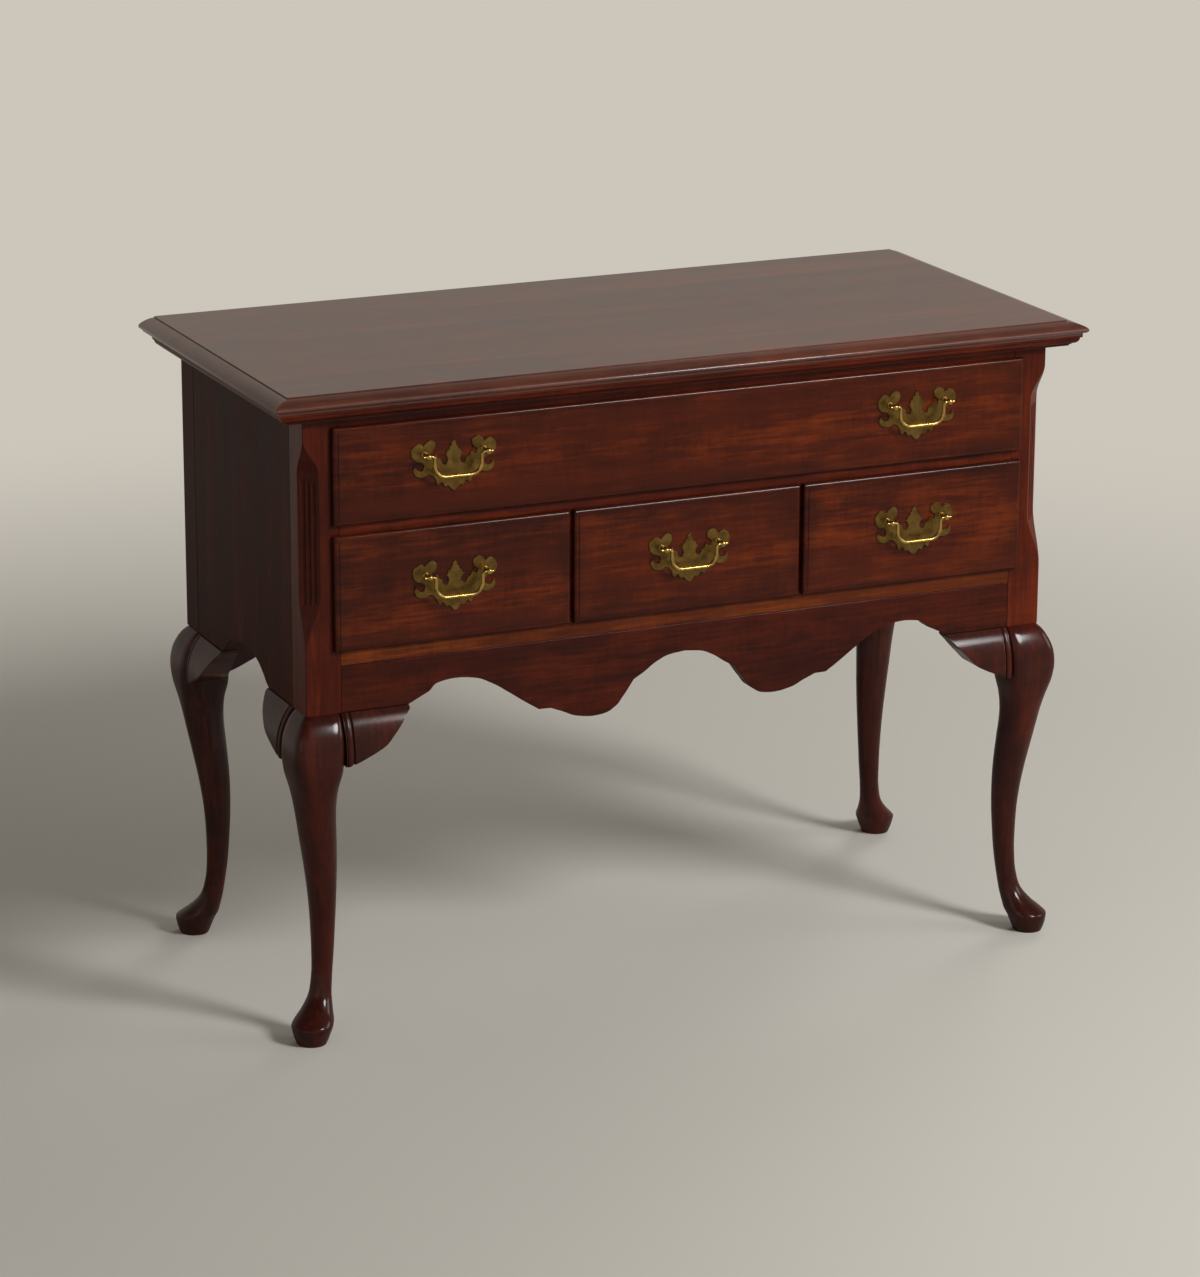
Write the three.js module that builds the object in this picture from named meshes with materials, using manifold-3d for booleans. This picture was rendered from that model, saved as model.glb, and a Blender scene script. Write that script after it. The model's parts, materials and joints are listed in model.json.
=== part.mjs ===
// A lowboy: a low chest on four cabriole legs, with one long drawer above three short ones.
// Millimetres, +Z up. The front faces -Y. The origin is on the floor, under the middle of the top.
import * as THREE from "three";
import { mergeVertices } from "three/addons/utils/BufferGeometryUtils.js";
import Module from "manifold-3d";

const wasm = await Module();
wasm.setup();

// Whole object. Its height is the sum of the heights that are stacked on the legs.
const topWidth = 1051;
const topDepth = 482;
const gap = 0.3; // left between pieces that touch
const overrun = 4; // how far a drill runs past the faces that it cuts

// Top board and the moulding under it.
const topThickness = 17;
const edgeInset = 22; // from the outermost edge in to the flat field
const endOverhang = 42;
const frontOverhang = 31.5;
const backOverhang = 34.5;
const mouldingHeight = 14;
const mouldingTopInset = 6;
const mouldingFootInset = 18;
// Each pair: share of the inset, share of the thickness measured up from the underside.
const topEdgeShares = [
  [0.25, 0],
  [0.25, 0.16],
  [0.1, 0.22],
  [0.01, 0.32],
  [0, 0.44],
  [0.08, 0.56],
  [0.25, 0.69],
  [0.5, 0.82],
  [0.76, 0.9],
  [0.93, 0.92],
  [0.93, 1],
  [1, 1],
];
// Each pair: share of the way from the top inset to the foot inset, share of the height down.
const mouldingShares = [
  [0, 0],
  [0, 0.18],
  [0.22, 0.24],
  [0.22, 0.34],
  [0.3, 0.5],
  [0.5, 0.68],
  [0.82, 0.8],
  [0.82, 0.86],
  [1, 0.9],
  [1, 1],
];

// Corner posts.
const postWidth = 43;
const postDepth = 43;
const cant = 19.5; // flat cut across the front corner, each way
const cornerEase = 1;
const cantRise = 75; // from the post's foot to the start of the cut
const lowerTongue = 70;
const upperTongue = 42;
const cantDrop = 38; // from the top board to the end of the cut
const fluteCount = 3;
const fluteDepth = 1.7;
const fluteFootDrop = 14; // below the end of the lower tongue
const fluteTopDrop = 50; // below the end of the cut
const fluteRunout = 7;
const fluteSteps = 4;
const fluteWidthShare = 0.18;
const flutePitchShare = 0.24;
const tongueSteps = 5;

// Cabriole legs.
const legHeight = 403;
const kneeReach = 21; // how far the knee and the foot stand out past the case
const legSides = 18;
const legRings = 19;
const kneeSquareness = 4;
const kneeSquareFootShare = 0.7;
// Each row: share of the leg's height, of the knee's reach outwards, of the post's width inwards.
const legShares = [
  [1, 0, 1],
  [0.985, 0.34, 1],
  [0.96, 0.63, 1],
  [0.92, 0.9, 1],
  [0.88, 1, 1],
  [0.83, 0.95, 1],
  [0.775, 0.73, 0.92],
  [0.7, 0.47, 0.9],
  [0.62, 0.19, 0.94],
  [0.52, -0.15, 0.98],
  [0.42, -0.4, 0.97],
  [0.32, -0.51, 0.92],
  [0.25, -0.52, 0.87],
  [0.185, -0.44, 0.8],
  [0.13, -0.17, 0.74],
  [0.09, 0.42, 0.7],
  [0.066, 0.92, 0.67],
  [0.055, 1.1, 0.63],
  [0.042, 1.08, 0.58],
  [0.02, 0.98, 0.5],
  [0, 0.83, 0.42],
];

// Knee blocks, glued under the aprons beside each leg.
const blockLength = 84;
const blockHeight = 62;
const blockThickness = 20;
const blockBulge = 19;
// Each pair: share of the length out from the leg, share of the height that the block hangs down.
const blockEdgeShares = [
  [0, 1],
  [0.14, 0.94],
  [0.3, 0.85],
  [0.46, 0.75],
  [0.58, 0.66],
  [0.7, 0.5],
  [0.82, 0.33],
  [0.93, 0.16],
  [1, 0.06],
];
// Each pair: share of the bulge, share of the block's height down its face.
const blockFaceShares = [
  [0.1, 0],
  [0.42, 0.12],
  [0.72, 0.3],
  [0.93, 0.55],
  [1, 0.78],
  [0.96, 1],
];

// Rails, boards and panels.
const topRailHeight = 30.5;
const topRailDepth = 22;
const longOpening = 106; // height of the long drawer's opening
const middleBoard = 22;
const shortOpening = 128; // height of the short drawers' openings
const lowerBoard = 24;
const dividerWidth = 22;
const dividerDepth = 20;
const guideHeight = 18;
const sideThickness = 20;
const apronThickness = 20;
const apronRise = 56.5; // from the posts' feet to the lower board
const apronDepth = 101; // from the lower board to the bottom of the lobes
const backThickness = 12;
const backRecess = 10;
const sideArchRise = 31;
const backArchRise = 24;
// Front apron from the middle out. Each pair: share of half the length, share of the depth down.
const centreArchShares = [
  [0, 0.34],
  [0.045, 0.362],
  [0.084, 0.43],
  [0.12, 0.533],
  [0.152, 0.615],
];
const lobeShares = [
  [0.152, 0.615],
  [0.182, 0.795],
  [0.209, 0.924],
  [0.241, 0.988],
  [0.273, 1],
  [0.318, 0.973],
  [0.363, 0.894],
  [0.398, 0.833],
];
const endArchShares = [
  [0.432, 0.83],
  [0.466, 0.736],
  [0.522, 0.568],
  [0.572, 0.429],
  [0.622, 0.34],
  [0.675, 0.315],
  [0.716, 0.335],
  [0.75, 0.435],
];
const archSteps = 12;
const lobeSteps = 14;
// Plain arch between two knee blocks. Each pair: share of half the span, share of the rise.
const plainArchShares = [
  [1, 0],
  [0.93, 0.1],
  [0.77, 0.42],
  [0.56, 0.74],
  [0.31, 0.935],
  [0, 1],
];

// Drawers.
const frontThickness = 19;
const lipProud = 9; // how far the drawer fronts stand out of the case
const lipWall = 5;
const lipSide = 8.4;
const lipRail = 5;
const fieldInset = 6; // width of the thumb moulding round the field
const fieldStep = 0.8;
const thumbSteps = 4;
const slideClearance = 1.5;
const frontClearance = 1;
const drawerWall = 11;
const drawerDrop = 10; // how far the sides stop below the opening's top
const bottomThickness = 6;
const bottomLift = 8;
const rearClearance = 8;

// Pulls: a pierced-outline plate, two posts bolted through the front, and a bail.
const pullCentres = 74;
const plateHalfWidth = 53;
const plateHeight = 63;
const plateThickness = 1.6;
const postStandoff = 15; // from the drawer front to the bail's axis
const ballRadius = 4.2;
const neckRadius = 2.4;
const flangeRadius = 3.4;
const flangeThickness = 1;
const nutRadius = 5.5;
const nutThickness = 3;
const bailRadius = 2.3;
const bailPinRadius = 1.7;
const pinClearance = 0.3;
const bailHalfWidth = 29.3;
const bailDrop = 25.5;
const bailCorner = 14;
const bailShoulder = 4;
const pinEnd = 2; // how far the bail's pins show past the balls
const bailSides = 8;
const bailArcSteps = 3;
const boltSides = 10;
const ballSteps = 5;
const longPullInset = 139; // the long drawer's pulls, in from the ends of its opening
const longPullDrop = 35.5; // pull posts below the top of the long drawer's opening
const shortPullDrop = 51.5;
// Half of the plate's outline, from the crest out and round to the pendant.
// Each pair: share of the half width, share of the height above the posts.
const plateShares = [
  [0, 0.225],
  [0.055, 0.165],
  [0.09, 0.125],
  [0.1, 0.085],
  [0.16, 0.045],
  [0.165, 0.01],
  [0.22, -0.035],
  [0.17, -0.085],
  [0.14, -0.135],
  [0.155, -0.19],
  [0.21, -0.23],
  [0.26, -0.22],
  [0.29, -0.175],
  [0.3, -0.13],
  [0.345, -0.1],
  [0.385, -0.09],
  [0.395, -0.045],
  [0.44, -0.01],
  [0.475, -0.055],
  [0.53, -0.06],
  [0.56, 0.01],
  [0.49, 0.05],
  [0.43, 0.13],
  [0.455, 0.22],
  [0.54, 0.258],
  [0.64, 0.235],
  [0.715, 0.16],
  [0.76, 0.2],
  [0.83, 0.21],
  [0.94, 0.165],
  [1, 0.07],
  [0.97, -0.05],
  [0.89, -0.13],
  [0.79, -0.15],
  [0.72, -0.18],
  [0.7, -0.23],
  [0.72, -0.28],
  [0.78, -0.308],
  [0.85, -0.294],
  [0.895, -0.255],
  [0.917, -0.215],
  [0.96, -0.3],
  [0.915, -0.39],
  [0.79, -0.44],
  [0.68, -0.43],
  [0.6, -0.39],
  [0.54, -0.405],
  [0.47, -0.46],
  [0.425, -0.515],
  [0.405, -0.58],
  [0.36, -0.613],
  [0.315, -0.57],
  [0.275, -0.56],
  [0.25, -0.61],
  [0.207, -0.655],
  [0.15, -0.64],
  [0.11, -0.66],
  [0.065, -0.715],
  [0, -0.742],
];

// Places worked out from the sizes above.
const caseHalf = topWidth / 2 - endOverhang;
const caseFront = -topDepth / 2 + frontOverhang;
const caseBack = topDepth / 2 - backOverhang;
const innerHalf = caseHalf - postWidth;
const railHalf = innerHalf - gap;
const boardFoot = legHeight + apronRise;
const shortFoot = boardFoot + lowerBoard;
const shortTop = shortFoot + shortOpening;
const longFoot = shortTop + middleBoard;
const longTop = longFoot + longOpening;
const undersideOfTop = longTop + topRailHeight;
const caseTop = undersideOfTop - gap;
const cantFoot = legHeight + cantRise;
const cantFull = cantFoot + lowerTongue;
const cantTop = undersideOfTop - cantDrop;
const fluteFoot = cantFull - fluteFootDrop;
const fluteTop = cantTop - fluteTopDrop;
const panelBack = caseBack - backRecess;
const panelFront = panelBack - backThickness;
const sideFront = caseFront + postDepth + gap;
const sideBack = caseBack - postDepth - gap;
const fieldFace = caseFront - lipProud;
const plateFace = fieldFace - gap - plateThickness;
const bailAxis = fieldFace - postStandoff;
const shortWidth = (2 * innerHalf - 2 * dividerWidth) / 3;
const shortPitch = shortWidth + dividerWidth;

const colours = {
  top: { color: 0x5a3325, roughness: 0.25, metalness: 0 },
  shell: { color: 0x4a1c12, roughness: 0.35, metalness: 0 },
  leg: { color: 0x4f1a10, roughness: 0.25, metalness: 0 },
  front: { color: 0x5c2413, roughness: 0.3, metalness: 0 },
  rail: { color: 0x74391d, roughness: 0.3, metalness: 0 },
  inside: { color: 0xa8835a, roughness: 0.7, metalness: 0 },
  plate: { color: 0x8a6a33, roughness: 0.4, metalness: 1 },
  bail: { color: 0xb08d4a, roughness: 0.3, metalness: 1 },
};

const lowboy = new THREE.Group();

function add(name, geometry, colour) {
  const mesh = new THREE.Mesh(geometry, new THREE.MeshStandardMaterial(colours[colour]));
  mesh.name = name;
  lowboy.add(mesh);
}

// Six times the signed volume, negative where the faces point inwards.
function signedVolume(points, faces) {
  let sum = 0;
  for (const [a, b, c] of faces) {
    sum += points[a].dot(new THREE.Vector3().crossVectors(points[b], points[c]));
  }
  return sum;
}

// A closed geometry from points and triangles, turned so that its faces point out.
function closed(points, faces) {
  const outwards = signedVolume(points, faces) > 0;
  const order = outwards ? faces.flat() : faces.flatMap(([a, b, c]) => [a, c, b]);
  const geometry = new THREE.BufferGeometry().setFromPoints(points);
  geometry.setIndex(order);
  const flat = geometry.toNonIndexed();
  flat.computeVertexNormals();
  return flat;
}

// A skin through rings of equally many points, each end closed by a fan from its middle.
function loft(rings) {
  const count = rings[0].length;
  const points = rings.flat();
  const faces = [];
  for (let ring = 0; ring < rings.length - 1; ring++) {
    for (let side = 0; side < count; side++) {
      const next = (side + 1) % count;
      const a = ring * count + side;
      const b = ring * count + next;
      faces.push([a, b, b + count], [a, b + count, a + count]);
    }
  }
  for (const end of [0, rings.length - 1]) {
    const middle = new THREE.Vector3();
    rings[end].forEach((point) => middle.add(point));
    points.push(middle.divideScalar(count));
    for (let side = 0; side < count; side++) {
      const a = end * count + side;
      const b = end * count + ((side + 1) % count);
      faces.push(end === 0 ? [points.length - 1, b, a] : [points.length - 1, a, b]);
    }
  }
  return closed(points, faces);
}

function box(x0, x1, y0, y1, z0, z1) {
  const geometry = new THREE.BoxGeometry(x1 - x0, y1 - y0, z1 - z0);
  return geometry.translate((x0 + x1) / 2, (y0 + y1) / 2, (z0 + z1) / 2);
}

// An outline of [across, up] pairs, cut from a board whose faces are at y0 and y1.
function frontBoard(outline, y0, y1, holes = []) {
  const shape = new THREE.Shape(outline.map(([x, z]) => new THREE.Vector2(x, z)));
  shape.holes.push(...holes);
  const geometry = new THREE.ExtrudeGeometry(shape, { depth: y1 - y0, bevelEnabled: false });
  return geometry.rotateX(Math.PI / 2).translate(0, y1, 0);
}

// An outline of [back, up] pairs, cut from a board whose faces are at x0 and x1.
function sideBoard(outline, x0, x1) {
  const shape = new THREE.Shape(outline.map(([y, z]) => new THREE.Vector2(y, z)));
  const geometry = new THREE.ExtrudeGeometry(shape, { depth: x1 - x0, bevelEnabled: false });
  const turn = new THREE.Matrix4().set(0, 0, 1, 0, 1, 0, 0, 0, 0, 1, 0, 0, 0, 0, 0, 1);
  return geometry.applyMatrix4(turn).translate(x0, 0, 0);
}

// A smooth line through a few [a, b] pairs, as steps + 1 pairs.
function smooth(pairs, steps) {
  const curve = new THREE.SplineCurve(pairs.map(([a, b]) => new THREE.Vector2(a, b)));
  return curve.getPoints(steps).map((point) => [point.x, point.y]);
}

function mirrored(half) {
  const other = half.map(([x, z]) => [-x, z]).reverse();
  return [...other.slice(0, -1), ...half];
}

// Rises from 0 to 1 between two values, level at both ends.
function ramp(value, from, to) {
  const share = THREE.MathUtils.clamp((value - from) / (to - from), 0, 1);
  return share * share * (3 - 2 * share);
}

function solidOf(geometry) {
  const bare = new THREE.BufferGeometry();
  const source = geometry.index ? geometry.toNonIndexed() : geometry;
  bare.setAttribute("position", source.getAttribute("position"));
  const merged = mergeVertices(bare);
  const vertProperties = merged.attributes.position.array;
  const triVerts = new Uint32Array(merged.index.array);
  return new wasm.Manifold(new wasm.Mesh({ numProp: 3, vertProperties, triVerts }));
}

function geometryOf(solid) {
  const mesh = solid.getMesh();
  const geometry = new THREE.BufferGeometry();
  geometry.setAttribute("position", new THREE.BufferAttribute(mesh.vertProperties, mesh.numProp));
  geometry.setIndex(new THREE.BufferAttribute(mesh.triVerts, 1));
  const flat = geometry.toNonIndexed();
  flat.computeVertexNormals();
  return flat;
}

function cut(geometry, cutters) {
  const left = cutters.reduce((solid, cutter) => solid.subtract(solidOf(cutter)), solidOf(geometry));
  return geometryOf(left);
}

// A mesh name such as post_front_left.
function cornerName(stem, side, end) {
  return `${stem}_${end < 0 ? "front" : "back"}_${side < 0 ? "left" : "right"}`;
}

// A place counted inwards from a corner of the case: across by u and back or forward by v.
function fromCorner(side, end, u, v, z) {
  const y = end < 0 ? caseFront + v : caseBack - v;
  return new THREE.Vector3(side * (caseHalf - u), y, z);
}

// Top board: rectangles stacked upwards, moulded on the front and both ends and square behind.
function topBoard() {
  const rings = topEdgeShares.map(([insetShare, upShare]) => {
    const inset = edgeInset * insetShare;
    const z = undersideOfTop + topThickness * upShare;
    const x = topWidth / 2 - inset;
    const y = -topDepth / 2 + inset;
    const corners = [[-x, y], [x, y], [x, topDepth / 2], [-x, topDepth / 2]];
    return corners.map(([cx, cy]) => new THREE.Vector3(cx, cy, z));
  });
  return loft(rings);
}

// Moulding under the top: one section carried along the left end, the front and the right end.
function topMoulding() {
  const section = mouldingShares.map(([insetShare, downShare]) => [
    mouldingTopInset + (mouldingFootInset - mouldingTopInset) * insetShare,
    caseTop - mouldingHeight * downShare,
  ]);
  const stations = [
    [-1, 0],
    [-1, -1],
    [1, -1],
    [1, 0],
  ];
  const rings = stations.map(([side, end]) => {
    const outer = section.map(([inset, z]) => {
      const y = end < 0 ? -topDepth / 2 + inset : caseBack;
      return new THREE.Vector3(side * (topWidth / 2 - inset), y, z);
    });
    const y = end < 0 ? caseFront - gap : caseBack;
    const foot = new THREE.Vector3(side * (caseHalf + gap), y, caseTop - mouldingHeight);
    const head = new THREE.Vector3(side * (caseHalf + gap), y, caseTop);
    return [...outer, foot, head];
  });
  return loft(rings);
}

// How far the front corner of a post is cut away at height z.
function cantAt(z) {
  const share = Math.min(ramp(z, cantFoot, cantFull), 1 - ramp(z, cantTop - upperTongue, cantTop));
  return cornerEase + (cant - cornerEase) * share;
}

// Section of a front post: square behind, cut across the outer corner, with hollow flutes.
function postRing(side, z) {
  const across = cantAt(z);
  const below = ramp(z, fluteFoot, fluteFoot + fluteRunout);
  const above = 1 - ramp(z, fluteTop - fluteRunout, fluteTop);
  const share = Math.min(below, above);
  const depth = (fluteDepth * share) / Math.SQRT2;
  const start = (1 - flutePitchShare * (fluteCount - 1) - fluteWidthShare) / 2;
  const line = [[0, across]];
  for (let flute = 0; flute < fluteCount; flute++) {
    for (let step = 0; step <= fluteSteps; step++) {
      const along = start + flutePitchShare * flute + (fluteWidthShare * step) / fluteSteps;
      const hollow = depth * Math.sin((Math.PI * step) / fluteSteps);
      line.push([across * along + hollow, across * (1 - along) + hollow]);
    }
  }
  line.push([across, 0], [postWidth, 0], [postWidth, postDepth], [0, postDepth]);
  return line.map(([u, v]) => fromCorner(side, -1, u, v, z));
}

function frontPost(side) {
  const fluteEnds = [fluteFoot, fluteFoot + fluteRunout, fluteTop - fluteRunout, fluteTop];
  const heights = [legHeight, ...fluteEnds, caseTop];
  for (let step = 0; step <= tongueSteps; step++) {
    heights.push(cantFoot + ((cantFull - cantFoot) * step) / tongueSteps);
    heights.push(cantTop - (upperTongue * step) / tongueSteps);
  }
  heights.sort((a, b) => a - b);
  return loft(heights.map((z) => postRing(side, z)));
}

function backPost(side) {
  const x = [side * caseHalf, side * innerHalf].sort((a, b) => a - b);
  return box(x[0], x[1], caseBack - postDepth, caseBack, legHeight, caseTop);
}

// Leg: rings that are square with round corners at the knee and round below it.
function leg(side, end) {
  const stations = legShares.map(
    ([up, out, inwards]) => new THREE.Vector3(kneeReach * out, postWidth * inwards, (legHeight - gap) * up),
  );
  const curve = new THREE.CatmullRomCurve3(stations, false, "centripetal");
  const rings = [];
  for (let ring = 0; ring <= legRings; ring++) {
    const { x: outer, y: inner, z } = curve.getPoint(ring / legRings);
    const middle = (inner - outer) / 2;
    const half = (inner + outer) / 2;
    const power = 2 + kneeSquareness * ramp(z, legHeight * kneeSquareFootShare, legHeight);
    const points = [];
    for (let step = 0; step < legSides; step++) {
      const angle = (2 * Math.PI * step) / legSides;
      const round = (value) => Math.sign(value) * Math.abs(value) ** (2 / power);
      const u = middle + half * round(Math.cos(angle));
      const v = middle + half * round(Math.sin(angle));
      points.push(fromCorner(side, end, u, v, z));
    }
    rings.push(points);
  }
  return loft(rings);
}

// How far the knee block's face stands out at this share of its height down, between the pairs.
function blockProud(down) {
  const next = Math.max(1, blockFaceShares.findIndex(([, pairDown]) => pairDown >= down));
  const [proudBefore, downBefore] = blockFaceShares[next - 1];
  const [proudAfter, downAfter] = blockFaceShares[next];
  const part = (down - downBefore) / (downAfter - downBefore);
  return blockBulge * (proudBefore + (proudAfter - proudBefore) * part);
}

// Knee block: one rounded face all along it, sawn off below along a line that rises to the tip.
function kneeBlock(side, end, alongFront) {
  const top = legHeight - gap;
  const rings = blockEdgeShares.map(([outShare, hangShare]) => {
    const out = gap + blockLength * outShare;
    const hang = blockHeight * hangShare;
    const face = blockFaceShares.map(([, down]) => [-blockProud(down * hangShare), top - hang * down]);
    const section = [...face, [blockThickness, top - hang], [blockThickness, top]];
    return section.map(([depth, z]) => {
      const u = alongFront ? postWidth + out : depth;
      const v = alongFront ? depth : postDepth + out;
      return fromCorner(side, end, u, v, z);
    });
  });
  return loft(rings);
}

// Lower edge of a board between two legs: level over the knee blocks, arched between them.
function archedEdge(half, rise) {
  const span = half - blockLength;
  const arch = smooth(plainArchShares, archSteps).reverse();
  const right = arch.map(([outShare, riseShare]) => [span * outShare, legHeight + rise * riseShare]);
  return mirrored([...right, [half, legHeight]]);
}

function sidePanel(side) {
  const middle = (sideFront + sideBack) / 2;
  const half = (sideBack - sideFront) / 2;
  const edge = archedEdge(half, sideArchRise).map(([y, z]) => [middle + y, z]);
  const x = [side * caseHalf, side * (caseHalf - sideThickness)].sort((a, b) => a - b);
  return sideBoard([...edge, [sideBack, caseTop], [sideFront, caseTop]], x[0], x[1]);
}

function backApron() {
  const edge = archedEdge(railHalf, backArchRise);
  const top = boardFoot - gap;
  const outline = [...edge, [railHalf, top], [-railHalf, top]];
  return frontBoard(outline, caseBack - apronThickness, caseBack);
}

// Front apron: a middle arch, two hanging lobes and two end arches.
function frontApron() {
  const shares = [
    ...smooth(centreArchShares, archSteps),
    ...smooth(lobeShares, lobeSteps).slice(1),
    ...smooth(endArchShares, archSteps),
  ];
  const right = shares.map(([out, down]) => [railHalf * out, boardFoot - apronDepth * down]);
  right.push([railHalf - blockLength, legHeight], [railHalf, legHeight]);
  const top = boardFoot - gap;
  const outline = [...mirrored(right), [railHalf, top], [-railHalf, top]];
  return frontBoard(outline, caseFront, caseFront + apronThickness);
}

// Divider between two short drawers: an upright in front and a low guide running back.
function divider(middle) {
  const foot = shortFoot + gap;
  const upright = caseFront + dividerDepth;
  const outline = [
    [caseFront, foot],
    [panelFront - gap, foot],
    [panelFront - gap, foot + guideHeight],
    [upright, foot + guideHeight],
    [upright, shortTop - gap],
    [caseFront, shortTop - gap],
  ];
  return sideBoard(outline, middle - dividerWidth / 2, middle + dividerWidth / 2);
}

function rectangle(x0, x1, z0, z1, y) {
  const corners = [[x0, z0], [x1, z0], [x1, z1], [x0, z1]];
  return corners.map(([x, z]) => new THREE.Vector3(x, y, z));
}

// A round bar along Y from y0 to y1.
function barAlongY(x, z, radius, y0, y1) {
  const bar = new THREE.CylinderGeometry(radius, radius, y1 - y0, boltSides);
  return bar.translate(x, (y0 + y1) / 2, z);
}

// Drawer front: a body that fills the opening and a lip with a thumb moulding round a flat field.
function drawerFront(opening, pulls) {
  const { x0, x1, z0, z1 } = opening;
  const body = (y) =>
    rectangle(x0 + frontClearance, x1 - frontClearance, z0 + frontClearance, z1 - frontClearance, y);
  const lip = (inset, y) =>
    rectangle(x0 - lipSide + inset, x1 + lipSide - inset, z0 - lipRail + inset, z1 + lipRail - inset, y);
  const rings = [body(fieldFace + frontThickness), body(caseFront - gap), lip(0, caseFront - gap)];
  const rise = lipProud - lipWall - fieldStep;
  for (let step = 0; step <= thumbSteps; step++) {
    const angle = (Math.PI / 2 / thumbSteps) * step;
    rings.push(lip(fieldInset * (1 - Math.cos(angle)), caseFront - lipWall - rise * Math.sin(angle)));
  }
  rings.push(lip(fieldInset, fieldFace));
  const bores = pulls.flatMap((pull) =>
    [-1, 1].map((side) => {
      const x = pull.x + (side * pullCentres) / 2;
      const back = fieldFace + frontThickness;
      return barAlongY(x, pull.z, neckRadius + gap, fieldFace - overrun, back + overrun);
    }),
  );
  return cut(loft(rings), bores);
}

// Drawer sides and back: a U seen from above.
function drawerBox(opening) {
  const x0 = opening.x0 + slideClearance;
  const x1 = opening.x1 - slideClearance;
  const y0 = fieldFace + frontThickness + gap;
  const y1 = panelFront - rearClearance;
  const outline = [
    [x0, y0],
    [x0 + drawerWall, y0],
    [x0 + drawerWall, y1 - drawerWall],
    [x1 - drawerWall, y1 - drawerWall],
    [x1 - drawerWall, y0],
    [x1, y0],
    [x1, y1],
    [x0, y1],
  ];
  const shape = new THREE.Shape(outline.map(([x, y]) => new THREE.Vector2(x, y)));
  const foot = opening.z0 + gap;
  const rise = opening.z1 - drawerDrop - foot;
  return new THREE.ExtrudeGeometry(shape, { depth: rise, bevelEnabled: false }).translate(0, 0, foot);
}

function drawerBottom(opening) {
  const inset = slideClearance + drawerWall + gap;
  const y0 = fieldFace + frontThickness + gap;
  const y1 = panelFront - rearClearance - drawerWall - gap;
  const z0 = opening.z0 + bottomLift;
  return box(opening.x0 + inset, opening.x1 - inset, y0, y1, z0, z0 + bottomThickness);
}

function pullPlate(pull) {
  const half = plateShares.map(([outShare, upShare]) => [plateHalfWidth * outShare, plateHeight * upShare]);
  const left = half.slice(1, -1).map(([x, z]) => [-x, z]).reverse();
  const outline = [...half, ...left].map(([x, z]) => [pull.x + x, pull.z + z]);
  const holes = [-1, 1].map((side) => {
    const hole = new THREE.Path();
    const radius = neckRadius + gap;
    const points = new THREE.EllipseCurve(pull.x + (side * pullCentres) / 2, pull.z, radius, radius);
    hole.setFromPoints(points.getPoints(boltSides).slice(1));
    return hole;
  });
  return frontBoard(outline, plateFace, fieldFace - gap, holes);
}

// Pull post: nut behind the drawer front, shank through it, flange, neck and a bored ball.
function pullPost(x, z) {
  const back = fieldFace + frontThickness + gap;
  const flangeBack = plateFace - gap;
  const neckEnd = bailAxis + ballRadius * Math.cos(Math.asin(neckRadius / ballRadius));
  const profile = [
    [0, back + nutThickness],
    [nutRadius, back + nutThickness],
    [nutRadius, back],
    [neckRadius, back],
    [neckRadius, flangeBack],
    [flangeRadius, flangeBack],
    [flangeRadius, flangeBack - flangeThickness],
    [neckRadius, flangeBack - 2 * flangeThickness],
    [neckRadius, neckEnd],
  ].map(([radius, y]) => new THREE.Vector2(radius, y));
  const from = Math.asin(neckRadius / ballRadius);
  for (let step = 1; step <= ballSteps; step++) {
    const angle = from + ((Math.PI - from) * step) / ballSteps;
    const radius = step < ballSteps ? ballRadius * Math.sin(angle) : 0;
    profile.push(new THREE.Vector2(radius, bailAxis + ballRadius * Math.cos(angle)));
  }
  profile.push(profile[0]);
  const lathe = new THREE.LatheGeometry(profile.reverse(), boltSides).translate(x, 0, z);
  const reach = ballRadius + overrun;
  const bore = new THREE.CylinderGeometry(
    bailPinRadius + pinClearance,
    bailPinRadius + pinClearance,
    2 * reach,
    bailSides,
  );
  bore.rotateZ(Math.PI / 2).translate(x, bailAxis, z);
  return cut(lathe, [bore]);
}

// Bail: a rod from pin to pin, thin at the pins and full round the drop.
function bail(pull) {
  const pin = pullCentres / 2 + ballRadius + pinEnd;
  const path = new THREE.Path();
  path.moveTo(pin, 0);
  path.lineTo(bailHalfWidth + bailShoulder, 0);
  path.absarc(bailHalfWidth + bailShoulder, -bailShoulder, bailShoulder, Math.PI / 2, Math.PI, false);
  path.absarc(bailHalfWidth - bailCorner, bailCorner - bailDrop, bailCorner, 0, -Math.PI / 2, true);
  path.lineTo(0, -bailDrop);
  const half = path.getPoints(bailArcSteps);
  const other = half.slice(0, -1).map((point) => new THREE.Vector2(-point.x, point.y));
  const spine = [...half, ...other.reverse()];
  const rings = spine.map((point, index) => {
    const before = spine[Math.max(index - 1, 0)];
    const after = spine[Math.min(index + 1, spine.length - 1)];
    const along = after.clone().sub(before).normalize();
    const swell = ramp(Math.abs(point.x), bailHalfWidth + bailShoulder, bailHalfWidth);
    const radius = bailPinRadius + (bailRadius - bailPinRadius) * swell;
    const ring = [];
    for (let step = 0; step < bailSides; step++) {
      const angle = (2 * Math.PI * step) / bailSides;
      const sideways = radius * Math.cos(angle);
      const x = pull.x + point.x - along.y * sideways;
      const z = pull.z + point.y + along.x * sideways;
      ring.push(new THREE.Vector3(x, bailAxis + radius * Math.sin(angle), z));
    }
    return ring;
  });
  return loft(rings);
}

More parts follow.
